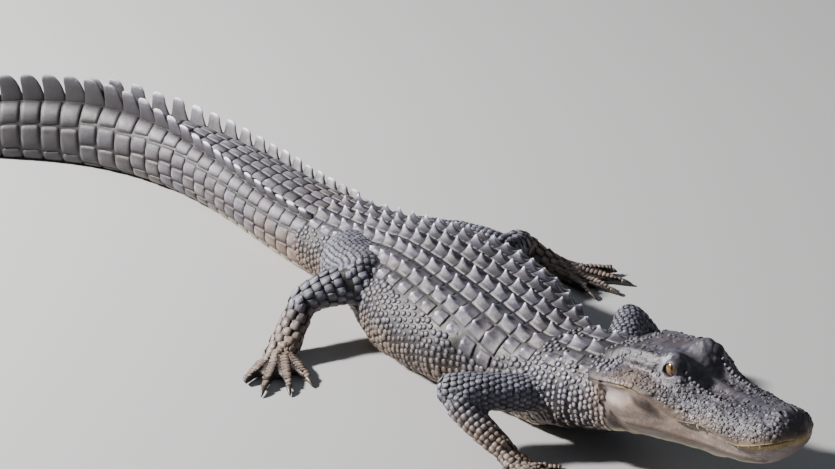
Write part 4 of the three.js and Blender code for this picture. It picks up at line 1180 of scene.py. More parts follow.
scute_u = np.array([-1, -0.94, -0.78, -0.62, -0.45, -0.2, 0.1, 0.4, 0.7, 0.93, 1.0])
scute_v = np.array([-1, -0.92, -0.66, -0.42, -0.22, -0.08, 0, 0.08, 0.22, 0.42, 0.66, 0.92, 1.0])
SCUTE_U, SCUTE_V, SCUTE_EDGE, SCUTE_FACES = plate_template(scute_u, scute_v, 0.16)


def keel_height(u, v, keel, wander):
    """Height of a keeled plate: a slow climb from the front to the peak, a steep fall behind it, times
    one minus the distance from the keel line raised to the hollow's power, and a low ridge ahead of it."""
    climb = np.clip((1 - u) / (1 - KEEL_PEAK), 0, 1)**2.3
    fall = ease(KEEL_BACK - 0.05, KEEL_PEAK, u)
    side = np.clip(1 - np.abs(v - wander * (1 - np.abs(u))), 0, 1)**KEEL_HOLLOW
    ridge = 0.30 * np.clip(1 - np.abs(v) * 2.6, 0, 1)**1.5 * np.clip((0.95 - u) / 1.5, 0, 1)
    return keel * fall * np.maximum(climb * side, ridge)


def body_scutes(name, rows):
    """Keeled plates at addresses on the body, whose points follow the hide under them. A row holds the
    place along and round, the length, the width and the height of the keel."""
    along, round_mm, length, width, keel = rows.T
    many = len(rows)
    keel = keel * (1 + SCUTE_VARY * chance(many))
    size = 1 + SCUTE_VARY * 0.4 * chance(many)
    wander = SCUTE_WANDER * chance(many)
    turn = SCUTE_TURN * chance(many)
    cos, sin = np.cos(turn)[:, None], np.sin(turn)[:, None] * 0.6
    du = (SCUTE_U * cos - SCUTE_V * sin) * (length * size / 2)[:, None]
    dv = (SCUTE_V * cos + SCUTE_U * sin) * (width * size / 2)[:, None]
    high = keel_height(SCUTE_U, SCUTE_V, keel[:, None], wander[:, None])
    high = high + SCUTE_RIM * (1 - 0.5 * np.abs(SCUTE_V)**3)
    base = on_body(along[:, None] + du, round_mm[:, None] + dv)
    pitted = 0.45 * soft_noise(base, 4.0, 30) + 0.35 * soft_noise(base, 9.0, 31)
    high = np.where(SCUTE_EDGE, -SCUTE_SINK, high + pitted)
    points = on_body(along[:, None] + du, round_mm[:, None] + dv, high)
    # Colour height: 0 at the sunk rim, for painted shade, rising to a pale keel tip that is wear and painted
    # highlight.
    relief = np.where(SCUTE_EDGE, 0.0, 0.36 + 0.62 * np.clip(high / keel[:, None], 0, 1)**1.3)
    scale_mesh(name, points, SCUTE_FACES, map_of_body(along, round_mm), relief, rng.random(many), "hide")


rows, back_edges = [], []
for row in range(BACK_COUNT):
    along = BACK_FIRST - BACK_STEP * row
    pitch, columns, keel = (float(size_at(BACK, key, along)) for key in ("pitch", "columns", "keel"))
    columns = int(round(columns))
    wide = np.append(np.ones(columns), OUTER_SHARE) * pitch
    walk = round_of(np.full(columns + 2, float(along)), np.append(0.01, np.cumsum(wide)))
    edges = np.append(0.0, np.cumsum(np.minimum(np.diff(walk), BACK_STRETCH * wide)))
    back_edges.append((along, edges[-1]))
    for column, (inner, outer) in enumerate(zip(edges[:-1], edges[1:])):
        last = column == columns
        length = BACK_STEP * (OUTER_LENGTH if last else BACK_LENGTH)
        height = keel * (1 - KEEL_FALL * column) * (OUTER_KEEL if last else 1.0)
        rows += [(along, side * (inner + outer) / 2, length, (outer - inner) * BACK_WIDTH, height)
                 for side in (1, -1)]
body_scutes("back_scutes", np.array(rows, float))

rows = np.array([(at, side * out, *sizes) for at, out, *sizes in NECK_SCUTES for side in (1, -1)], float)
rows[:, 1] = round_of(rows[:, 0], rows[:, 1])
body_scutes("neck_scutes", rows)

# %% [markdown]
# ## The tail's crests
#
# Two rows of upright scutes run down the tail and draw together into a single saw-toothed blade. Each is
# a thin fin with a rounded top that leans back. Seen from the side its outline is a low climb at the
# front and a hollow drop behind the tip, and it thins from the root to the edge.

# %% Crest scutes
CREST = columns_of(("at", "step", "rise", "out", "thick", "splay"), [
    (-1590, 12, 6, 0, 2.5, 0), (-1520, 19, 20, 0, 4, 0), (-1380, 31, 38, 0, 6, 0), (-1180, 43, 54, 0, 8, 0),
    (-965, 45, 50, 8, 8, 4), (-820, 42, 37, 25, 9, 12), (-620, 38, 25, 44, 11, 20),
    (-350, 34, 15, 56, 13, 24)])
CREST_START, CREST_END, CREST_SINK, CREST_MEETS = -352.0, -1576.0, 6.0, 5.0

crest_rows = []
along = CREST_START
while along > CREST_END:
    values = [float(size_at(CREST, key, along)) for key in ("step", "rise", "out", "thick", "splay")]
    sides = (1, -1) if values[2] > CREST_MEETS else (0,)
    crest_rows += [(along, side, *values) for side in sides]
    along -= values[0]
crest_rows = np.array(crest_rows)
CREST_PLACES = np.unique(crest_rows[:, 0])[::-1]
print("whorls of the tail:", len(CREST_PLACES))

# Two outlines of a fin, like a thumb near the hips and like a sickle on the tail's end. At each level of
# height they hold how far forward the front edge reaches, how far the rear edge, and how thick the fin is.
FIN_AROUND = 18
FIN_LEVELS = np.array([-0.12, 0.02, 0.28, 0.52, 0.74, 0.90, 0.985])
# FIN_SHADES set the colour up a fin: darkest at its root, as painted shade where it meets the hide, and
# palest at its edge, as wear and painted highlight.
FIN_SHADES = np.array([0.0, 0.35, 0.42, 0.5, 0.66, 0.86, 1.0])
THUMB_FIN = np.array([[1.00, 0.97, 0.68, 0.44, 0.34, 0.16, -0.14],
                      [-1.00, -0.97, -0.93, -0.92, -0.92, -0.86, -0.64],
                      [1.15, 1.0, 0.80, 0.66, 0.54, 0.42, 0.24]])
SICKLE_FIN = np.array([[1.00, 0.99, 0.88, 0.70, 0.44, 0.12, -0.26],
                       [-1.00, -0.99, -0.96, -1.00, -1.06, -1.04, -0.86],
                       [1.15, 1.0, 0.70, 0.52, 0.38, 0.27, 0.16]])
FIN_LENGTH, FIN_VARY = 0.54, 0.06


def crown_at(along, left):
    """Height of the hide over a place out to the left: the section's two powers solved for the height."""
    share = np.clip(np.abs(left) / size_at(BODY, "half", along), 0, 1)
    wide = size_at(BODY, "wide", along)
    return wide + (size_at(BODY, "top", along) - wide) * np.maximum(
        1 - share**(2 / SIDE_POWER), 0)**(BACK_POWER / 2)


def crest_fins(name, rows, slot):
    """Fins on the hide: at each height an oval whose length shrinks and moves back towards the tip, and
    whose thickness falls to an edge; length times cosine, thickness times sine."""
    at, side, step, rise, out, thick, splay = rows.T[..., None, None]
    many = len(rows)
    rise = rise * (1 + FIN_VARY * chance(many))[:, None, None]
    far = 1 - ease(-1100, -880, rows[:, :1])
    front, rear, thin = ((thumb * (1 - far) + far * sickle)[..., None]
                         for thumb, sickle in zip(THUMB_FIN, SICKLE_FIN))
    turn = full_turn(FIN_AROUND)
    u = (front + rear) / 2 + (front - rear) / 2 * signed_power(np.cos(turn), 0.8)
    across = thin * signed_power(np.sin(turn), 0.9) * (thick / 2)
    along = at + u * (step * FIN_LENGTH)
    root = np.broadcast_to(side * out, along.shape)
    levels = FIN_LEVELS[:, None]
    lift = np.where(levels < 0, -CREST_SINK, 0.0) + np.maximum(levels, 0) * rise
    lean = np.radians(splay) * side
    grid = from_spine(along, root + across * np.cos(lean) + lift * np.sin(lean),
                      crown_at(along, root) + lift * np.cos(lean) - across * np.sin(lean))
    grid = grid.reshape(many, -1, 3)
    cap = np.stack([grid[:, :FIN_AROUND].mean(axis=1), grid[:, -FIN_AROUND:].mean(axis=1)], axis=1)
    high = np.concatenate([np.repeat(FIN_SHADES, FIN_AROUND), [0.0, 1.0]])
    scale_mesh(name, np.concatenate([grid, cap], axis=1), tube_faces(len(FIN_LEVELS), FIN_AROUND),
               map_of_body(rows[:, 0], rows[:, 1] * rows[:, 4]), high[None], rng.random(many), slot)


crest_fins("tail_crests", crest_rows, "tail_hide")

# %% [markdown]
# ## Whorls of the tail
#
# Below the crests the tail is ringed by whorls of flat oblong plates, one whorl to each crest scute. The
# plates of a whorl lie side by side round the tail and lap a little over the whorl behind. Their places
# come from the same steps as the crest's, so that plate and fin line up as they do on the animal.

# %% Tail plates
WHORL_PLATE, WHORL_END_PLATE, WHORL_TOP_PLATE = 29.0, 50.0, 22.0
WHORL_GAP, WHORL_LENGTH, SIDE_KEEL, TOP_KEEL = 1.2, 0.97, 0.9, 0.6
PLATE_RIM, PLATE_LAP, PLATE_SINK, PLATE_DOME = 1.0, 1.1, 2.2, 1.1
plate_ticks = np.array([-1, -0.92, -0.6, -0.2, 0.2, 0.6, 0.92, 1.0])
PLATE_U, PLATE_V, PLATE_EDGE, PLATE_FACES = plate_template(plate_ticks, plate_ticks, 0.22)


def body_plates(name, rows, slot):
    """Flat plates at addresses on the body: a rim, a lap that rises to the back edge, and a soft dome. A
    row holds the place along and round, the length, the width and the height of a low keel."""
    along, round_mm, length, width, keel = rows.T[..., None]
    many = len(rows)
    u, v = PLATE_U[None], PLATE_V[None]
    high = PLATE_RIM + PLATE_LAP * (0.5 - 0.5 * u) * (1 - 0.4 * v**2) + keel * (1 - np.abs(v))**1.4
    high = high + PLATE_DOME * (1 - v**2) * (1 - 0.6 * u**2)
    high = high * (0.85 + 0.3 * rng.random(many))[:, None] - 0.5 * np.maximum(np.abs(u), np.abs(v))**4
    high = np.where(PLATE_EDGE, -PLATE_SINK, high)
    points = on_body(along + u * (length / 2), round_mm + v * (width / 2), high)
    # Colour height: the sunk rim dark as painted shade, the middle and the raised back edge paler as wear
    # and painted highlight.
    relief = np.where(PLATE_EDGE, 0.0, 0.32 + 0.30 * (1 - np.abs(v)) + 0.14 * (-u))
    scale_mesh(name, points, PLATE_FACES, map_of_body(*rows.T[:2]), relief, rng.random(many), slot)


def plates_between(place, edges, sides, step, keel):
    """Rows of one ring of plates that lie side by side between edges round the body."""
    return [(place, side * (low + high) / 2, step * WHORL_LENGTH, high - low - WHORL_GAP, keel)
            for low, high in zip(edges[:-1], edges[1:]) for side in sides]


whorls = []
for place in CREST_PLACES:
    step, out, thick = (float(size_at(CREST, key, place)) for key in ("step", "out", "thick"))
    girth = float(girth_at(place))
    crest_round = float(abs(round_of(np.array([place]), np.array([max(out, 0.01)]))[0]))
    first, inner = crest_round + 0.5 * thick, crest_round - 0.5 * thick
    plate = float(np.interp(place, (-1080, -780), (WHORL_END_PLATE, WHORL_PLATE)))
    count = max(int(round((girth - first) / plate)), 2)
    whorls += plates_between(place, np.linspace(first, girth, count + 1), (1, -1), step, SIDE_KEEL)
    if out > CREST_MEETS * 2:
        across = max(int(round(2 * inner / WHORL_TOP_PLATE)), 1)
        whorls += plates_between(place, np.linspace(-inner, inner, across + 1), (1,), step, TOP_KEEL)
body_plates("tail_plates", np.array(whorls), "tail_hide")

# %% [markdown]
# ## Small scales that sit on the finished skin
#
# The flanks, the neck and the legs carry thousands of small scales, and the skin under them has folds and
# flows from one form into the next. So each of these scales is first given a rough place from the same
# sizes as the body, and then set down on the nearest point of the real skin, along its own outward
# direction. Those that would crowd a neighbour are dropped.

# %% Set small scales down on the skin
from mathutils.bvhtree import BVHTree

skin_tree = BVHTree.FromObject(skin, bpy.context.evaluated_depsgraph_get())
SETTLE_REACH, CROWD_SHARE, CROWD_CHUNK = 22.0, 0.52, 1500


def uncrowded(spots, size):
    """Keeps a scale unless an earlier one lies closer than a share of their two half lengths together."""
    keep = np.ones(len(spots), bool)
    for first in range(0, len(spots), CROWD_CHUNK):
        part = slice(first, min(first + CROWD_CHUNK, len(spots)))
        far = np.linalg.norm(spots[part, None] - spots[None], axis=-1)
        limit = CROWD_SHARE * (size[part, None] + size[None]) / 2
        earlier = np.arange(len(spots))[None] < np.arange(part.start, part.stop)[:, None]
        keep[part] = ~np.any((far < limit) & earlier, axis=1)
    return keep


def settled(places, ahead, size):
    """Nearest points of the skin with the directions forward, across and outward there, for the scales
    that are near enough to it and don't crowd an earlier one, and which those are."""
    found = [skin_tree.find_nearest(Vector(p * MM)) for p in places]
    spots = np.array([f[0] for f in found]) / MM
    out = np.array([f[1] for f in found])
    near = np.linalg.norm(spots - places, axis=1) < SETTLE_REACH
    across = unit(np.cross(out, ahead))
    keep = near & uncrowded(spots, size)
    return spots[keep], np.cross(across, out)[keep], across[keep], out[keep], keep


PEBBLE_U, PEBBLE_V, PEBBLE_HIGH, PEBBLE_FACES = disc_template(8, (0.50, 0.86, 1.0), (1.0, 0.76, 0.36, -0.60))
small_ticks = np.array([-1, -0.78, 0.0, 0.78, 1.0])
SMALL_U, SMALL_V, SMALL_EDGE, SMALL_FACES = plate_template(small_ticks, small_ticks, 0.6)


def pebbles(name, places, ahead, length, width, height, spots_on_map, slot, base=0.10, pale=0.56):
    """Round domed scales on the skin: a disc stretched to a length and width, with a height at each ring."""
    spots, ahead, across, out, keep = settled(places, ahead, np.minimum(length, width))
    length, width, height = (a[keep, None, None] for a in (length, width, height))
    points = (spots[:, None] + ahead[:, None] * (PEBBLE_U[None, :, None] * length / 2)
              + across[:, None] * (PEBBLE_V[None, :, None] * width / 2)
              + out[:, None] * (PEBBLE_HIGH[None, :, None] * height))
    # Colour height: tops paler, as wear and painted highlight, and the sunk rim darker, as painted shade.
    relief = np.clip(base + pale * PEBBLE_HIGH, 0, 1)
    scale_mesh(name, points, PEBBLE_FACES, spots_on_map[keep], relief[None], rng.random(keep.sum()), slot)


def small_plates(name, places, ahead, length, width, height, keel, spots_on_map):
    """Small keeled scales on the skin: a rounded plate whose back edge is raised, with a keel along it."""
    spots, ahead, across, out, keep = settled(places, ahead, np.minimum(length, width))
    length, width, height, keel = (a[keep, None] for a in (length, width, height, keel))
    u, v = SMALL_U[None], SMALL_V[None]
    top = height * (0.65 - 0.45 * u) + keel * (1 - np.abs(v))**1.3 * (0.7 - 0.3 * u)
    top = np.where(SMALL_EDGE, -0.9 * height, top)
    points = (spots[:, None] + ahead[:, None] * (u * length / 2)[..., None]
              + across[:, None] * (v * width / 2)[..., None] + out[:, None] * top[..., None])
    # Colour height: the sunk rim dark as painted shade, the keel and raised back paler as wear and painted
    # highlight.
    relief = np.where(SMALL_EDGE, 0.0, 0.34 + 0.48 * (1 - np.abs(SMALL_V)) * (0.7 - 0.3 * SMALL_U))
    scale_mesh(name, points, SMALL_FACES, spots_on_map[keep], relief[None], rng.random(keep.sum()),
               "leg_skin")


LEG_CHECKS = 24


def inside_legs(points, grow):
    """True where a point lies inside a leg: nearer to its middle line than its size times a factor."""
    inside = np.zeros(len(points), bool)
    for name in JOINTS:
        centre, _, _, _, wide, tall = limb_frames(stops_of(name), np.linspace(0, 1, LEG_CHECKS))
        far = np.linalg.norm(points[:, None] - centre[None], axis=-1)
        inside |= np.any(far < grow * np.minimum(wide, tall)[None], axis=1)
    return inside


def inside_body(points, grow):
    """True where a point lies inside the body: its share of the half width and of the height, each
    raised to the section's power, add up to less than one."""
    along, left = to_spine(points)
    wide = size_at(BODY, "wide", along)
    reach = np.where(points[:, 2] >= wide, size_at(BODY, "top", along) - wide,
                     wide - size_at(BODY, "under", along)) + grow
    power = np.where(points[:, 2] >= wide, 2 / BACK_POWER, 2 / BELLY_POWER)
    out = np.abs(left) / (size_at(BODY, "half", along) + grow)
    return out**(2 / SIDE_POWER) + (np.abs(points[:, 2] - wide) / reach)**power < 1.0


def staggered(first, last, step, low, high, pitch, jitter):
    """Addresses in rows: each second row is moved by half a pitch, and each place a little by chance."""
    along, round_ = [], []
    for row, place in enumerate(np.arange(first, last, step)):
        spots = np.arange(low, high, pitch) + (row % 2) * pitch / 2
        along.append(np.full(len(spots), place))
        round_.append(spots)
    along, round_ = np.concatenate(along), np.concatenate(round_)
    along = along + jitter * step * chance(len(along))
    return along, round_ + jitter * pitch * chance(len(along))


def scute_edge(along):
    """Distance round to the outer edge of the back's even rows."""
    places, edges = np.array(back_edges[::-1]).T
    return np.interp(along, places, edges) + 1.0


# %% Pebbles of the flanks and the neck
ROUND_FIRST, ROUND_LAST, PEBBLE_JITTER = 40.0, 330.0, 0.20
FLANK = {"first": -345.0, "last": 352.0, "step": 11.2, "pitch": 11.6, "sizes": (16.0, 15.0, 3.3),
         "end_share": 0.80, "base": 0.06}
NECK = {"first": 350.0, "last": 516.0, "step": 11.0, "pitch": 10.0, "sizes": (13.5, 12.0, 3.4),
        "end_share": 0.70, "base": 0.24}
NAPE_REACH, NAPE_CLEAR = 66.0, 2.0


def lay_pebbles(name, start_of, first, last, step, pitch, sizes, end_share, base):
    """Both sides of a stretch of the body, from the scutes down to a share of the girth. The sizes are
    length, width and height, and all of them swell and shrink in patches."""
    along, round_ = staggered(first, last, step, ROUND_FIRST, ROUND_LAST, pitch, PEBBLE_JITTER)
    keep = (round_ > start_of(along)) & (round_ < girth_at(along) * end_share)
    along, round_ = np.tile(along[keep], 2), np.concatenate([round_[keep], -round_[keep]])
    places = on_body(along, round_)
    keep = (~inside_legs(places, 0.60)) & (places[:, 2] > 3.0)
    along, round_, places = along[keep], round_[keep], places[keep]
    patch = 0.86 + 0.30 * soft_noise(places, 42.0, 40) + 0.22 * (rng.random(len(places)) - 0.5)
    length, width, height = sizes
    pebbles(name, places, on_body(along + 2.0, round_) - places, length * patch, width * patch,
            height * patch**1.2, map_of_body(along, round_), "hide", base)


def neck_edge(along):
    """Distance round to the outer edge of the big neck scutes."""
    return np.where(along > 395, 62.0, 70.0)


lay_pebbles("flank_scales", scute_edge, **FLANK)
lay_pebbles("neck_scales", neck_edge, **NECK)

# Behind the skull and between the big neck scutes the skin carries small round scales
along, round_ = staggered(352.0, 530.0, 9.5, -NAPE_REACH, NAPE_REACH, 10.0, 0.22)
size = 8.0 + 3.0 * rng.random(len(along))
taken = np.zeros(len(along), bool)
for at, out, length, width, _ in NECK_SCUTES:
    for side in (1, -1):
        taken |= ((np.abs(along - at) < length / 2 + NAPE_CLEAR)
                  & (np.abs(round_ - side * out) < width / 2 + NAPE_CLEAR))
along, round_, size = (a[~taken] for a in (along, round_, size))
places = on_body(along, round_)
pebbles("nape_scales", places, on_body(along + 2.0, round_) - places, size, size, np.full(len(size), 3.4),
        map_of_body(along, round_), "hide")

# %% Belly plates along the lower sides
BELLY_STEP, BELLY_PITCH, BELLY_LENGTH, BELLY_WIDTH = 23.0, 24.0, 22.2, 22.8
belly = []
for along in np.arange(-330.0, 350.0, BELLY_STEP):
    girth = float(girth_at(along))
    for round_ in np.arange(girth * FLANK["end_share"] + 10.0, girth * 0.995, BELLY_PITCH):
        belly += [(along, side * round_, BELLY_LENGTH, BELLY_WIDTH, 0.0) for side in (1, -1)]
belly = np.array(belly)
places = on_body(belly[:, 0], belly[:, 1])
body_plates("belly_plates", belly[(places[:, 2] > 1.5) & ~inside_legs(places, 0.95)], "hide")

# %% [markdown]
# ## Scales of the legs and toes
#
# On the legs the scales run in rows across the limb. Those on the outer side are large and keeled, most of
# all on the heel and the back of the forearm, and those inside are small. The tops of the toes carry one
# row of short bands each.

# %% Leg scales
LIMB_SIZES = {"arm": (8.5, 10.5), "forearm": (10.5, 10.0), "thigh": (8.0, 12.0), "shank": (13.0, 20.0)}
LIMB_HEIGHT = 0.075
FOOT_SIZES = {"forearm": (10.0, 9.0), "shank": (17.0, 10.5)}


def limb_scales(stops, first, last, side, along):
    """Addresses of scales on a limb part: rows along it whose pitch goes from the first size to the last,
    places round each row, and how far each faces outward and up."""
    fine = np.linspace(0, 1, 80)
    steps = np.linalg.norm(np.diff(limb_frames(stops, fine)[0], axis=0), axis=1)
    rows = np.append(0, np.cumsum(steps / np.interp(fine[1:], (0, 1), (first, last))))
    shares, angles = [], []
    for row, share in enumerate(np.interp(np.arange(0.5, rows[-1]), rows, fine)):
        wide, tall = (float(a[0]) for a in limb_frames(stops, np.array([share]))[4:])
        pitch = first + (last - first) * share
        around = max(int(math.pi * (wide + tall) / (pitch * 1.02)), 6)
        angles.append((np.arange(around) + (row % 2) * 0.5) * 2 * math.pi / around)
        shares.append(np.full(around, share))
    shares, angles = np.concatenate(shares), np.concatenate(angles)
    shares = np.clip(shares + 0.10 / rows[-1] * chance(len(shares)), 0, 1)
    centre, ahead, across, lift, wide, tall = limb_frames(stops, shares)
    places = (centre + across * (wide * np.cos(angles))[:, None] + lift * (tall * np.sin(angles))[:, None])
    turned = unit(places - centre)
    heading = float(heading_at(float(along)))
    outward = np.array([-math.sin(heading), math.cos(heading), 0.0]) * side
    facing = np.clip(0.55 * turned[:, 2] + 0.65 * (turned @ outward) + 0.1, 0, 1)
    size = (first + (last - first) * shares) * (0.94 + 0.22 * facing)
    return places, ahead, size, facing, shares, angles


limb_list = [(name, stops_of(name), *LIMB_SIZES[name.split("_")[0]]) for name in JOINTS]
limb_list += [(name, sole_stops(name), *FOOT_SIZES[name.split("_")[0]]) for name in SOLES]
for group, kinds in (("foreleg_scales", ("arm", "forearm")), ("hindleg_scales", ("thigh", "shank"))):
    stack = []
    for strip, (name, stops, first, last) in enumerate(limb_list):
        if name.split("_")[0] not in kinds:
            continue
        places, ahead, size, facing, shares, angles = limb_scales(stops, first, last, side_of(name),
                                                                  JOINTS[name][1][0])
        spots = np.column_stack([0.02 + 0.08 * strip + 0.065 * shares, 0.66 + 0.07 * angles / math.pi])
        keep = ~inside_body(places, -1.0) & (places[:, 2] > 2.0)
        stack.append([a[keep] for a in (places, ahead, size, facing, spots)])
    places, ahead, size, facing, spots = (np.concatenate(parts) for parts in zip(*stack))
    size = size * (0.92 + 0.16 * rng.random(len(size)))
    high = LIMB_HEIGHT * size
    small_plates(group, places, ahead, size * 1.14, size * 1.08, high * (0.9 + 0.5 * facing),
                 high * (0.3 + 1.5 * facing**2), spots)

# %% Toe bands and the scales on the back of the feet
BAND_STEP, BAND_LENGTH, FOOT_LENGTH, FOOT_WIDTH = 7.5, 8.2, 10.5, 9.8
TOE_SCALE_HEIGHT, TOE_SCALE_KEEL = 1.0, 0.25
stack = []
for order, part in enumerate(SOLES):
    plan, start, _, ahead, toes = foot_layout(part)
    for toe, (bends, way, radius) in enumerate(toes):
        count = int(np.linalg.norm(bends[3] - bends[0]) / BAND_STEP)
        shares = (np.arange(count) + 0.7) / (count + 0.8)
        width = radius * smooth_through([0, .33, .66, 1], TOE_WIDTHS, shares)
        points = pen_path(bends, shares) + UP_WAY * (width * TOE_FLATNESS)[:, None]
        spots = np.stack([0.02 + 0.22 * order + 0.035 * toe + 0 * shares, 0.84 + 0.1 * shares], axis=1)
        stack.append([points, np.tile(way, (count, 1)), np.full(count, BAND_LENGTH), width * 1.75, spots])
    across = np.array([-ahead[1], ahead[0], 0.0])
    u, v = np.meshgrid(np.linspace(-22, plan["sole"] - 6, 6), np.linspace(-0.75, 0.75, 5), indexing="ij")
    u, v = (u + np.array([0, 4.5, 0, 4.5, 0])).ravel(), v.ravel()
    points = start + ahead * u[:, None] + across * (v * plan["wide"])[:, None] + (0, 0, plan["tall"])
    spots = np.stack([0.92 + 0.01 * order + 0.0001 * u, 0.84 + 0.05 * v], axis=1)
    stack.append([points, np.tile(ahead, (len(u), 1)), np.full(len(u), FOOT_LENGTH),
                  np.full(len(u), FOOT_WIDTH), spots])
places, ahead, length, width, spots = (np.concatenate(part) for part in zip(*stack))
small_plates("toe_scales", places, ahead, length, width, np.full(len(length), TOE_SCALE_HEIGHT),
             np.full(len(length), TOE_SCALE_KEEL), spots)

# %% [markdown]
# ## Scales of the head
#
# The head has no free scales, only skin tight over bone, broken into small lumps. The largest are along the
# upper jaw below the eye, on the ridges in front of the eyes and over the snout.

# %% Head bumps
HEAD_BUMPS = [  # ahead from, to; step; share up the side from, to; size; height
    (0.00, 0.31, 0.024, 0.50, 1.00, 10.0, 0.75),
    (0.02, 0.23, 0.022, 0.10, 0.50, 8.5, 0.7),
    (0.22, 0.48, 0.017, 0.26, 0.80, 8.0, 0.95),
    (0.48, 0.985, 0.017, 0.12, 0.98, 7.4, 0.80),
]
BUMP_CHANCE, BUMP_JITTER, BUMP_FLAT = 0.72, 0.30, 0.9
EYE_CLEAR, NOSTRIL_CLEAR = 9.0, 10.0
RIDGE_SPIKES = 9
HEAD_AHEAD, HEAD_LEFT, HEAD_UP = HEAD_MATRIX[:3, :3].T

stack = []
for first, last, step, low, high, size, height in HEAD_BUMPS:
    at, share = staggered(first, last, step, low, high, step * 3.0, BUMP_JITTER)
    for side in (1, -1):
        turn = np.clip(share, 0, 1) * math.pi / 2
        left = side * size_at(HEAD, "half", at) * np.cos(turn)**0.70
        keep = rng.random(len(at)) < BUMP_CHANCE
        scale = size * (0.55 + 0.75 * rng.random(len(at))**1.5)
        spots = np.stack([0.02 + 0.3 * at, 0.12 + side * 0.09 * share], axis=1)
        places = from_head(at, left, head_top(at, left))
        stack.append([a[keep] for a in (places, scale, np.full(len(at), height), spots)])
places, size, height, spots = (np.concatenate(part) for part in zip(*stack))
clear = ((far_from(places, EYE_AT, EYE_OUT, EYE_UP) > EYE_RADIUS + EYE_CLEAR)
         & (far_from(places, NOSTRIL_AT, NOSTRIL_OUT, NOSTRIL_UP) > NOSTRIL_CLEAR))
places, size, height, spots = (a[clear] for a in (places, size, height, spots))
pebbles("head_scales", places, np.tile(HEAD_AHEAD, (len(size), 1)), size, size * BUMP_FLAT, height, spots,
        "hide", 0.26, 0.30)

# The ridge in front of each eye carries a row of upright points
at, side = np.tile(np.linspace(0.405, 0.60, RIDGE_SPIKES), 2), np.repeat([1, -1], RIDGE_SPIKES)
left = side * ridge_line(at)
places = from_head(at, left, head_top(at, left))
spots = np.column_stack([0.5 + 0.2 * at, 0.12 + side * 0.03])
size = np.tile(np.linspace(8.0, 5.0, RIDGE_SPIKES), 2) * (0.85 + 0.3 * rng.random(2 * RIDGE_SPIKES))
ahead = np.tile(HEAD_AHEAD, (len(at), 1))
pebbles("ridge_scales", places, ahead, size * 1.3, size, size * 0.75, spots, "hide")

# %% [markdown]
# ## Eyes, claws and teeth
#
# The eye is a ball in the socket that was cut into its lid, so the lid's edge lies over it all round. The
# teeth are blunt cones that show below the upper lip, and the claws are curved horn. They stay pieces of
# their own, as they are hard things in soft skin.

# %% Eyes
EYE_SEGMENTS, EYE_RINGS = 96, 64
eyes = []
for name, side in (("left", 1), ("right", -1)):
    eye = egg("eye_ball_" + name, EYE_AT, side * EYE_OUT, EYE_UP, (EYE_RADIUS,) * 3, EYE_SEGMENTS, EYE_RINGS)
    eyes.append(eye)
    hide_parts("eye_" + name)
    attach(eye, "root")

# %% Claws and teeth
CLAW_RINGS, CLAW_AROUND, CLAW_ROOT_MM, CLAW_THICK = 9, 12, 5.0, 0.48
CLAW_DROOP, CLAW_FLOOR_MM = np.array([0, 0, -0.28]), 0.2
TOOTH_RINGS, TOOTH_AROUND, TOOTH_ROOT_MM, TOOTH_BEND = 7, 10, 4.0, -0.10
UPPER_TEETH = {"first": 0.50, "last": 0.90, "count": 8, "length": 4.5, "radius": 2.1, "inset": 2.6}


def horn(base, way, bend, length, radius, rings, around):
    """Rings of a curved cone: their radius falls as the square root of what is left of the length."""
    share = np.linspace(0, 1, rings)
    path = base + way * (share * length)[:, None] + bend * (share**2 * length)[:, None]
    size = radius * np.sqrt(np.clip(1 - share, 0.004, 1))[:, None]
    side = unit(np.cross(way, UP_WAY if abs(way[2]) < 0.9 else np.array([1.0, 0.0, 0.0])))
    angle = full_turn(around)
    return (path[:, None] + side * (size * np.cos(angle))[..., None]
            + np.cross(side, way) * (size * np.sin(angle))[..., None])


claws = []
for part in SOLES:
    plan, _, _, _, toes = foot_layout(part)
    for bends, way, radius in toes[:CLAWED_TOES]:
        base = bends[3] - way * CLAW_ROOT_MM + UP_WAY * 1.5
        claws.append(horn(base, way, CLAW_DROOP, plan["claw"] + CLAW_ROOT_MM, radius * CLAW_THICK,
                          CLAW_RINGS, CLAW_AROUND))
claws = joined("claws", claws)
set_points(claws, over_floor(points_of(claws), CLAW_FLOOR_MM))

teeth = []
for side in (1, -1):
    for i, at in enumerate(np.linspace(UPPER_TEETH["first"], UPPER_TEETH["last"], UPPER_TEETH["count"])):
        size = 1.15 if i % 3 == 1 else 0.85
        lip = float(size_at(HEAD, "half", at)) - UPPER_TEETH["inset"] / HEAD_LENGTH
        root = from_head(float(at), side * lip, float(size_at(HEAD, "mouth", at)) + 0.012)
        teeth.append(horn(root, -HEAD_UP, HEAD_LEFT * side * TOOTH_BEND,
                          UPPER_TEETH["length"] * size + TOOTH_ROOT_MM, UPPER_TEETH["radius"] * size,
                          TOOTH_RINGS, TOOTH_AROUND))
teeth = joined("teeth", teeth)
for piece in (claws, teeth):
    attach(piece, "root")
print("claws and teeth:", len(claws.data.vertices), len(teeth.data.vertices), "points")

# %% [markdown]
# ## Materials
#
# The hide is horn over bone, dry and dusty on top, and it reads by three things: dark seams between
# scales, partly dirt and partly painted shade, pale tops on the keels, partly wear and partly painted
# highlight, and a fine net of cracks that breaks up the shine. So its colour comes first from how high a
# point stands on its scale, then from the markings, and noise at the size of real wear moves both. Horn,
# tooth and eye have paints of their own. Patterns are laid out in the animal's own space, so skin and
# scales share them without a seam.

# %% Helpers for paint
def linear(code):
    """Linear colour from a web colour: each channel over 255, less 0.04045 taken as a straight line, more
    as the power 2.4."""
    parts = [int(code[i:i + 2], 16) / 255 for i in (1, 3, 5)]
    return (*[c / 12.92 if c <= 0.04045 else ((c + 0.055) / 1.055)**2.4 for c in parts], 1.0)


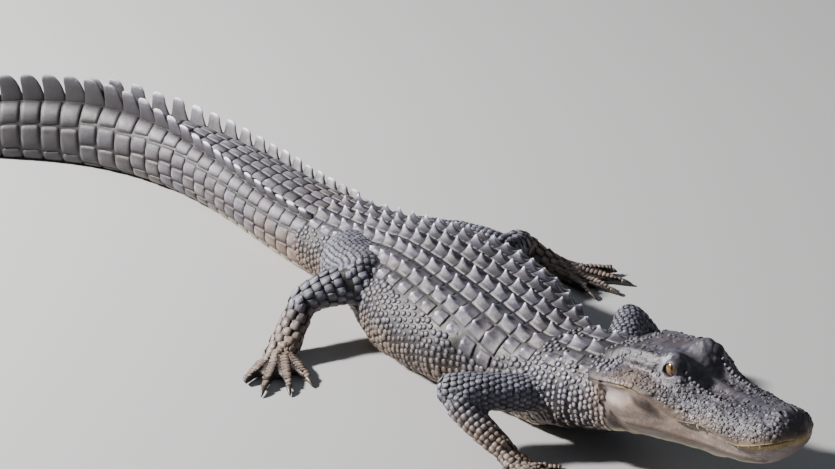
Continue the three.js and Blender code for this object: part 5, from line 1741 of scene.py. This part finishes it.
def add_node(tree, kind, settings=None, links=None):
    """New node with its settings and its links from other nodes' outputs."""
    node = tree.nodes.new(kind)
    for key, value in (settings or {}).items():
        if isinstance(key, str) and key in node.bl_rna.properties:
            setattr(node, key, value)
        else:
            node.inputs[key].default_value = value
    for key, source in (links or {}).items():
        tree.links.new(source, node.inputs[key])
    return node


def new_paint(name):
    """Empty material with its shader."""
    paint = bpy.data.materials.new(name)
    paint.use_nodes = True
    return paint, paint.node_tree, paint.node_tree.nodes["Principled BSDF"]


def value_at(tree, name):
    """Number kept at the points of a piece."""
    return add_node(tree, "ShaderNodeAttribute", {"attribute_name": name}).outputs["Fac"]


def feed(tree, socket, value):
    """Gives a socket a plain number, a web colour or another node's output."""
    if isinstance(value, (int, float)):
        socket.default_value = value
    elif isinstance(value, str):
        socket.default_value = linear(value)
    else:
        tree.links.new(value, socket)


def combine(tree, operation, one, other):
    """Sum, difference or product of two numbers, each an output or a plain number."""
    node = add_node(tree, "ShaderNodeMath", {"operation": operation})
    for socket, value in zip(node.inputs, (one, other)):
        feed(tree, socket, value)
    return node.outputs[0]


def moved(tree, value, other, amount):
    """Number moved up and down by another, which lies round a half, times an amount."""
    push = combine(tree, "MULTIPLY", amount, combine(tree, "SUBTRACT", other, 0.5))
    return combine(tree, "ADD", value, push)


def stretched(tree, value, low, high):
    """Number from low to high spread over 0 to 1, clipped."""
    node = add_node(tree, "ShaderNodeMapRange", {1: low, 2: high, 3: 0.0, 4: 1.0}, {0: value})
    return node.outputs[0]


def ramp(tree, value, stops):
    """Colours blended along a number, from pairs of place and web colour."""
    node = add_node(tree, "ShaderNodeValToRGB", {}, {"Fac": value})
    elements = node.color_ramp.elements
    while len(elements) < len(stops):
        elements.new(0.5)
    for element, (place, code) in zip(elements, stops):
        element.position = place
        element.color = linear(code)
    return node.outputs["Color"]


def blend(tree, share, one, other):
    """Colour between two others by a share."""
    node = add_node(tree, "ShaderNodeMix", {"data_type": "RGBA"})
    for socket, value in ((node.inputs["Factor"], share), (node.inputs[6], one), (node.inputs[7], other)):
        feed(tree, socket, value)
    return node.outputs[2]


def noise_at(tree, place, size_mm, detail, rough=0.55):
    """Noise whose lumps are about the given size."""
    settings = {"Scale": 1 / (size_mm * MM), "Detail": detail, "Roughness": rough}
    return add_node(tree, "ShaderNodeTexNoise", settings, {"Vector": place}).outputs["Fac"]


# %% The hide
PATCH_MM, DUST_MM, WEAR_MM, CRACK_MM, GRAIN_MM = 70.0, 16.0, 5.0, 2.6, 1.1
SEAM_BUMP, SEAM_DEPTH_MM, CRACK_BUMP, CRACK_DEPTH_MM = 0.35, 0.8, 0.45, 0.35
WEAR_MOVES, DUST_MOVES, TINT_MOVES, PATCH_MOVES = 0.34, 0.26, 0.14, 0.9
SOIL_SHARE, SHADE_AND_DARK_SHARE = 0.42, 0.80
CREAMS = [(0.05, "#4d4133"), (0.30, "#a39377"), (0.75, "#cdc3a6")]
LIPS = [(0.25, "#6f5a36"), (0.65, "#b99c63")]


def hide_paint(name, greys, browns, roughness):
    """Horny hide: dark seams, partly painted shade, pale keel tops, partly wear and partly painted
    highlight, dust in patches and a broken satin shine.
    """
    paint, tree, shader = new_paint(name)
    place = add_node(tree, "ShaderNodeTexCoord").outputs["Object"]
    patch = noise_at(tree, place, PATCH_MM, 3.0)
    dust = noise_at(tree, place, DUST_MM, 4.0)
    wear = noise_at(tree, place, WEAR_MM, 5.0, 0.65)
    grain = noise_at(tree, place, GRAIN_MM, 3.0)
    cracks = add_node(tree, "ShaderNodeTexVoronoi", {
        "feature": "DISTANCE_TO_EDGE", "Scale": 1 / (CRACK_MM * MM)}, {"Vector": place}).outputs["Distance"]
    crack = stretched(tree, cracks, 0.0, 0.16)

    # Height on the scale, moved by wear, by dust and by each scale's own tone. The ramps turn low into
    # dark, as painted shade in the seams, and high into pale, as wear and painted highlight on the tops
    high = moved(tree, value_at(tree, "relief"), wear, WEAR_MOVES)
    high = moved(tree, high, dust, DUST_MOVES)
    high = moved(tree, high, value_at(tree, "tint"), TINT_MOVES)

    stain = stretched(tree, moved(tree, value_at(tree, "brown"), patch, PATCH_MOVES), 0.12, 0.95)
    colour = blend(tree, stain, ramp(tree, high, greys), ramp(tree, high, browns))
    cream = stretched(tree, value_at(tree, "cream"), 0.1, 0.9)
    colour = blend(tree, cream, colour, ramp(tree, high, CREAMS))
    # Where the dark marking is set, the colour goes most of the way to near black: dark skin on the snout,
    # and painted shade in the hollows, the slits and the tail's end.
    colour = blend(tree, value_at(tree, "dark_and_shade"), colour, blend(tree, SHADE_AND_DARK_SHARE, colour, "#1d1c20"))
    colour = blend(tree, value_at(tree, "lip"), colour, ramp(tree, wear, LIPS))

    # Dirt lies in the cracks where the grain is low
    clean = stretched(tree, combine(tree, "MULTIPLY", crack, stretched(tree, grain, 0.25, 0.60)), 0.0, 0.55)
    soil = combine(tree, "MULTIPLY", SOIL_SHARE, combine(tree, "SUBTRACT", 1.0, clean))
    colour = blend(tree, soil, colour, "#2b2625")
    tree.links.new(colour, shader.inputs["Base Color"])

    shine = add_node(tree, "ShaderNodeMapRange", {1: 0.3, 2: 0.7, 3: roughness - 0.09, 4: roughness + 0.13},
                     {0: dust}).outputs[0]
    tree.links.new(shine, shader.inputs["Roughness"])
    lumps = add_node(tree, "ShaderNodeBump", {"Strength": SEAM_BUMP, "Distance": SEAM_DEPTH_MM * MM},
                     {"Height": wear})
    fine = add_node(tree, "ShaderNodeBump", {"Strength": CRACK_BUMP, "Distance": CRACK_DEPTH_MM * MM},
                    {"Height": crack, "Normal": lumps.outputs[0]})
    tree.links.new(fine.outputs[0], shader.inputs["Normal"])
    return paint


# Each ramp runs from near black at the rims, which is painted shade, through the hide's own colour, to a
# pale bluish top, which is painted highlight as well as wear.
GREYS = [(0.04, "#0e0c0f"), (0.24, "#252328"), (0.48, "#45434e"), (0.72, "#737182"), (0.92, "#e2e4f6")]
TAIL_GREYS = [(0.04, "#0e0c0e"), (0.24, "#242125"), (0.46, "#403d45"), (0.70, "#6d6b77"), (0.92, "#dee0ee")]
LEG_GREYS = [(0.04, "#0f0e11"), (0.24, "#25252b"), (0.46, "#42424e"), (0.70, "#6c6d7f"), (0.92, "#d7daeb")]
BROWNS = [(0.04, "#15100d"), (0.26, "#3d3028"), (0.50, "#67564b"), (0.85, "#a08f82")]
PAINTS = {
    "hide": hide_paint("dusty_horn_over_bone", GREYS, BROWNS, 0.47),
    "tail_hide": hide_paint("tail_plates_of_horn", TAIL_GREYS, BROWNS, 0.50),
    "leg_skin": hide_paint("leg_scales_of_horn", LEG_GREYS, BROWNS, 0.50),
}
print("hide paints:", len(PAINTS))

# %% Horn, tooth and eye
CLAW_MM, TOOTH_MM = 9.0, 6.0


def horn_paint(name, stops, roughness, size_mm):
    """Claw or tooth: the eye reads a smooth hard cone, streaked along, darker where it is stained."""
    paint, tree, shader = new_paint(name)
    place = add_node(tree, "ShaderNodeTexCoord").outputs["Object"]
    streak = noise_at(tree, place, size_mm, 4.0)
    tree.links.new(ramp(tree, streak, stops), shader.inputs["Base Color"])
    shader.inputs["Roughness"].default_value = roughness
    ripples = add_node(tree, "ShaderNodeBump", {"Strength": 0.25, "Distance": 0.3 * MM}, {"Height": streak})
    tree.links.new(ripples.outputs[0], shader.inputs["Normal"])
    return paint


CLAW_PAINT = horn_paint("claw_horn", [(0.30, "#221d19"), (0.70, "#4f463d")], 0.38, CLAW_MM)
TOOTH_PAINT = horn_paint("tooth_ivory", [(0.25, "#a58f66"), (0.55, "#d8ccb0")], 0.32, TOOTH_MM)


def eye_paint():
    """Wet eye: the eye reads an amber iris that darkens to its rim, an upright slit and a hard highlight."""
    paint, tree, shader = new_paint("eye_iris_and_wet_cornea")
    place = add_node(tree, "ShaderNodeTexCoord").outputs["Object"]
    rays = noise_at(tree, place, 1.6, 4.0)
    iris = ramp(tree, value_at(tree, "iris"), [
        (0.0, "#4c3616"), (0.45, "#614826"), (0.74, "#4a3618"), (0.86, "#1e160f"), (1.0, "#120e0b")])
    fleck = ramp(tree, rays, [(0.30, "#392810"), (0.65, "#715633")])
    colour = blend(tree, 0.38, iris, fleck)
    rim = stretched(tree, value_at(tree, "iris"), 0.72, 0.92)
    colour = blend(tree, rim, colour, "#17120f")
    colour = blend(tree, stretched(tree, value_at(tree, "pupil"), 0.35, 0.65), colour, "#060505")
    tree.links.new(colour, shader.inputs["Base Color"])
    shader.inputs["Roughness"].default_value = 0.12
    shader.inputs["Coat Weight"].default_value = 1.0
    shader.inputs["Coat Roughness"].default_value = 0.03
    return paint


EYE_PAINT = eye_paint()
IRIS_REACH, SLIT_WIDE, SLIT_TALL = 0.95, 0.10, 0.72
GAZE = (0.42, 0.90, 0.10)

for eye, side in zip(eyes, (1, -1)):
    local = (points_of(eye) - from_head(EYE_AT, side * EYE_OUT, EYE_UP)) @ HEAD_MATRIX[:3, :3] / EYE_RADIUS
    gaze = unit(np.array([GAZE[0], side * GAZE[1], GAZE[2]]))
    level = unit(np.cross(UP_WAY, gaze))
    ahead, sideways, upward = (local @ axis for axis in (gaze, level, np.cross(gaze, level)))
    ring = np.where(ahead > 0, np.hypot(sideways, upward) / IRIS_REACH, 1.0)
    slit = 1 - np.abs(sideways) / (SLIT_WIDE * np.sqrt(np.clip(1 - (upward / SLIT_TALL)**2, 0.001, 1)))
    add_attribute(eye, "iris", np.clip(ring, 0, 1))
    add_attribute(eye, "pupil", np.where(ahead > 0, np.clip(0.5 + slit, 0, 1), 0))
print("eyes painted:", len(eyes))

# %% Dress the pieces
def dress(obj, paint):
    """Gives a piece one paint."""
    obj.data.materials.clear()
    obj.data.materials.append(paint)


for piece, slot in [(skin, "hide"), *coat]:
    dress(piece, PAINTS[slot])
for eye in eyes:
    dress(eye, EYE_PAINT)
dress(claws, CLAW_PAINT)
dress(teeth, TOOTH_PAINT)
print("pieces dressed:", len(coat) + len(eyes) + 3)

# %% [markdown]
# ## Put the skin in place of the solids
#
# The one skin replaces every solid of flesh at once, so no seam shows where two solids met. The eyes have
# replaced their own solids already.

# %% Finish
flesh_nodes = [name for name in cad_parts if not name.startswith("eye")]
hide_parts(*flesh_nodes)
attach(skin, "root")
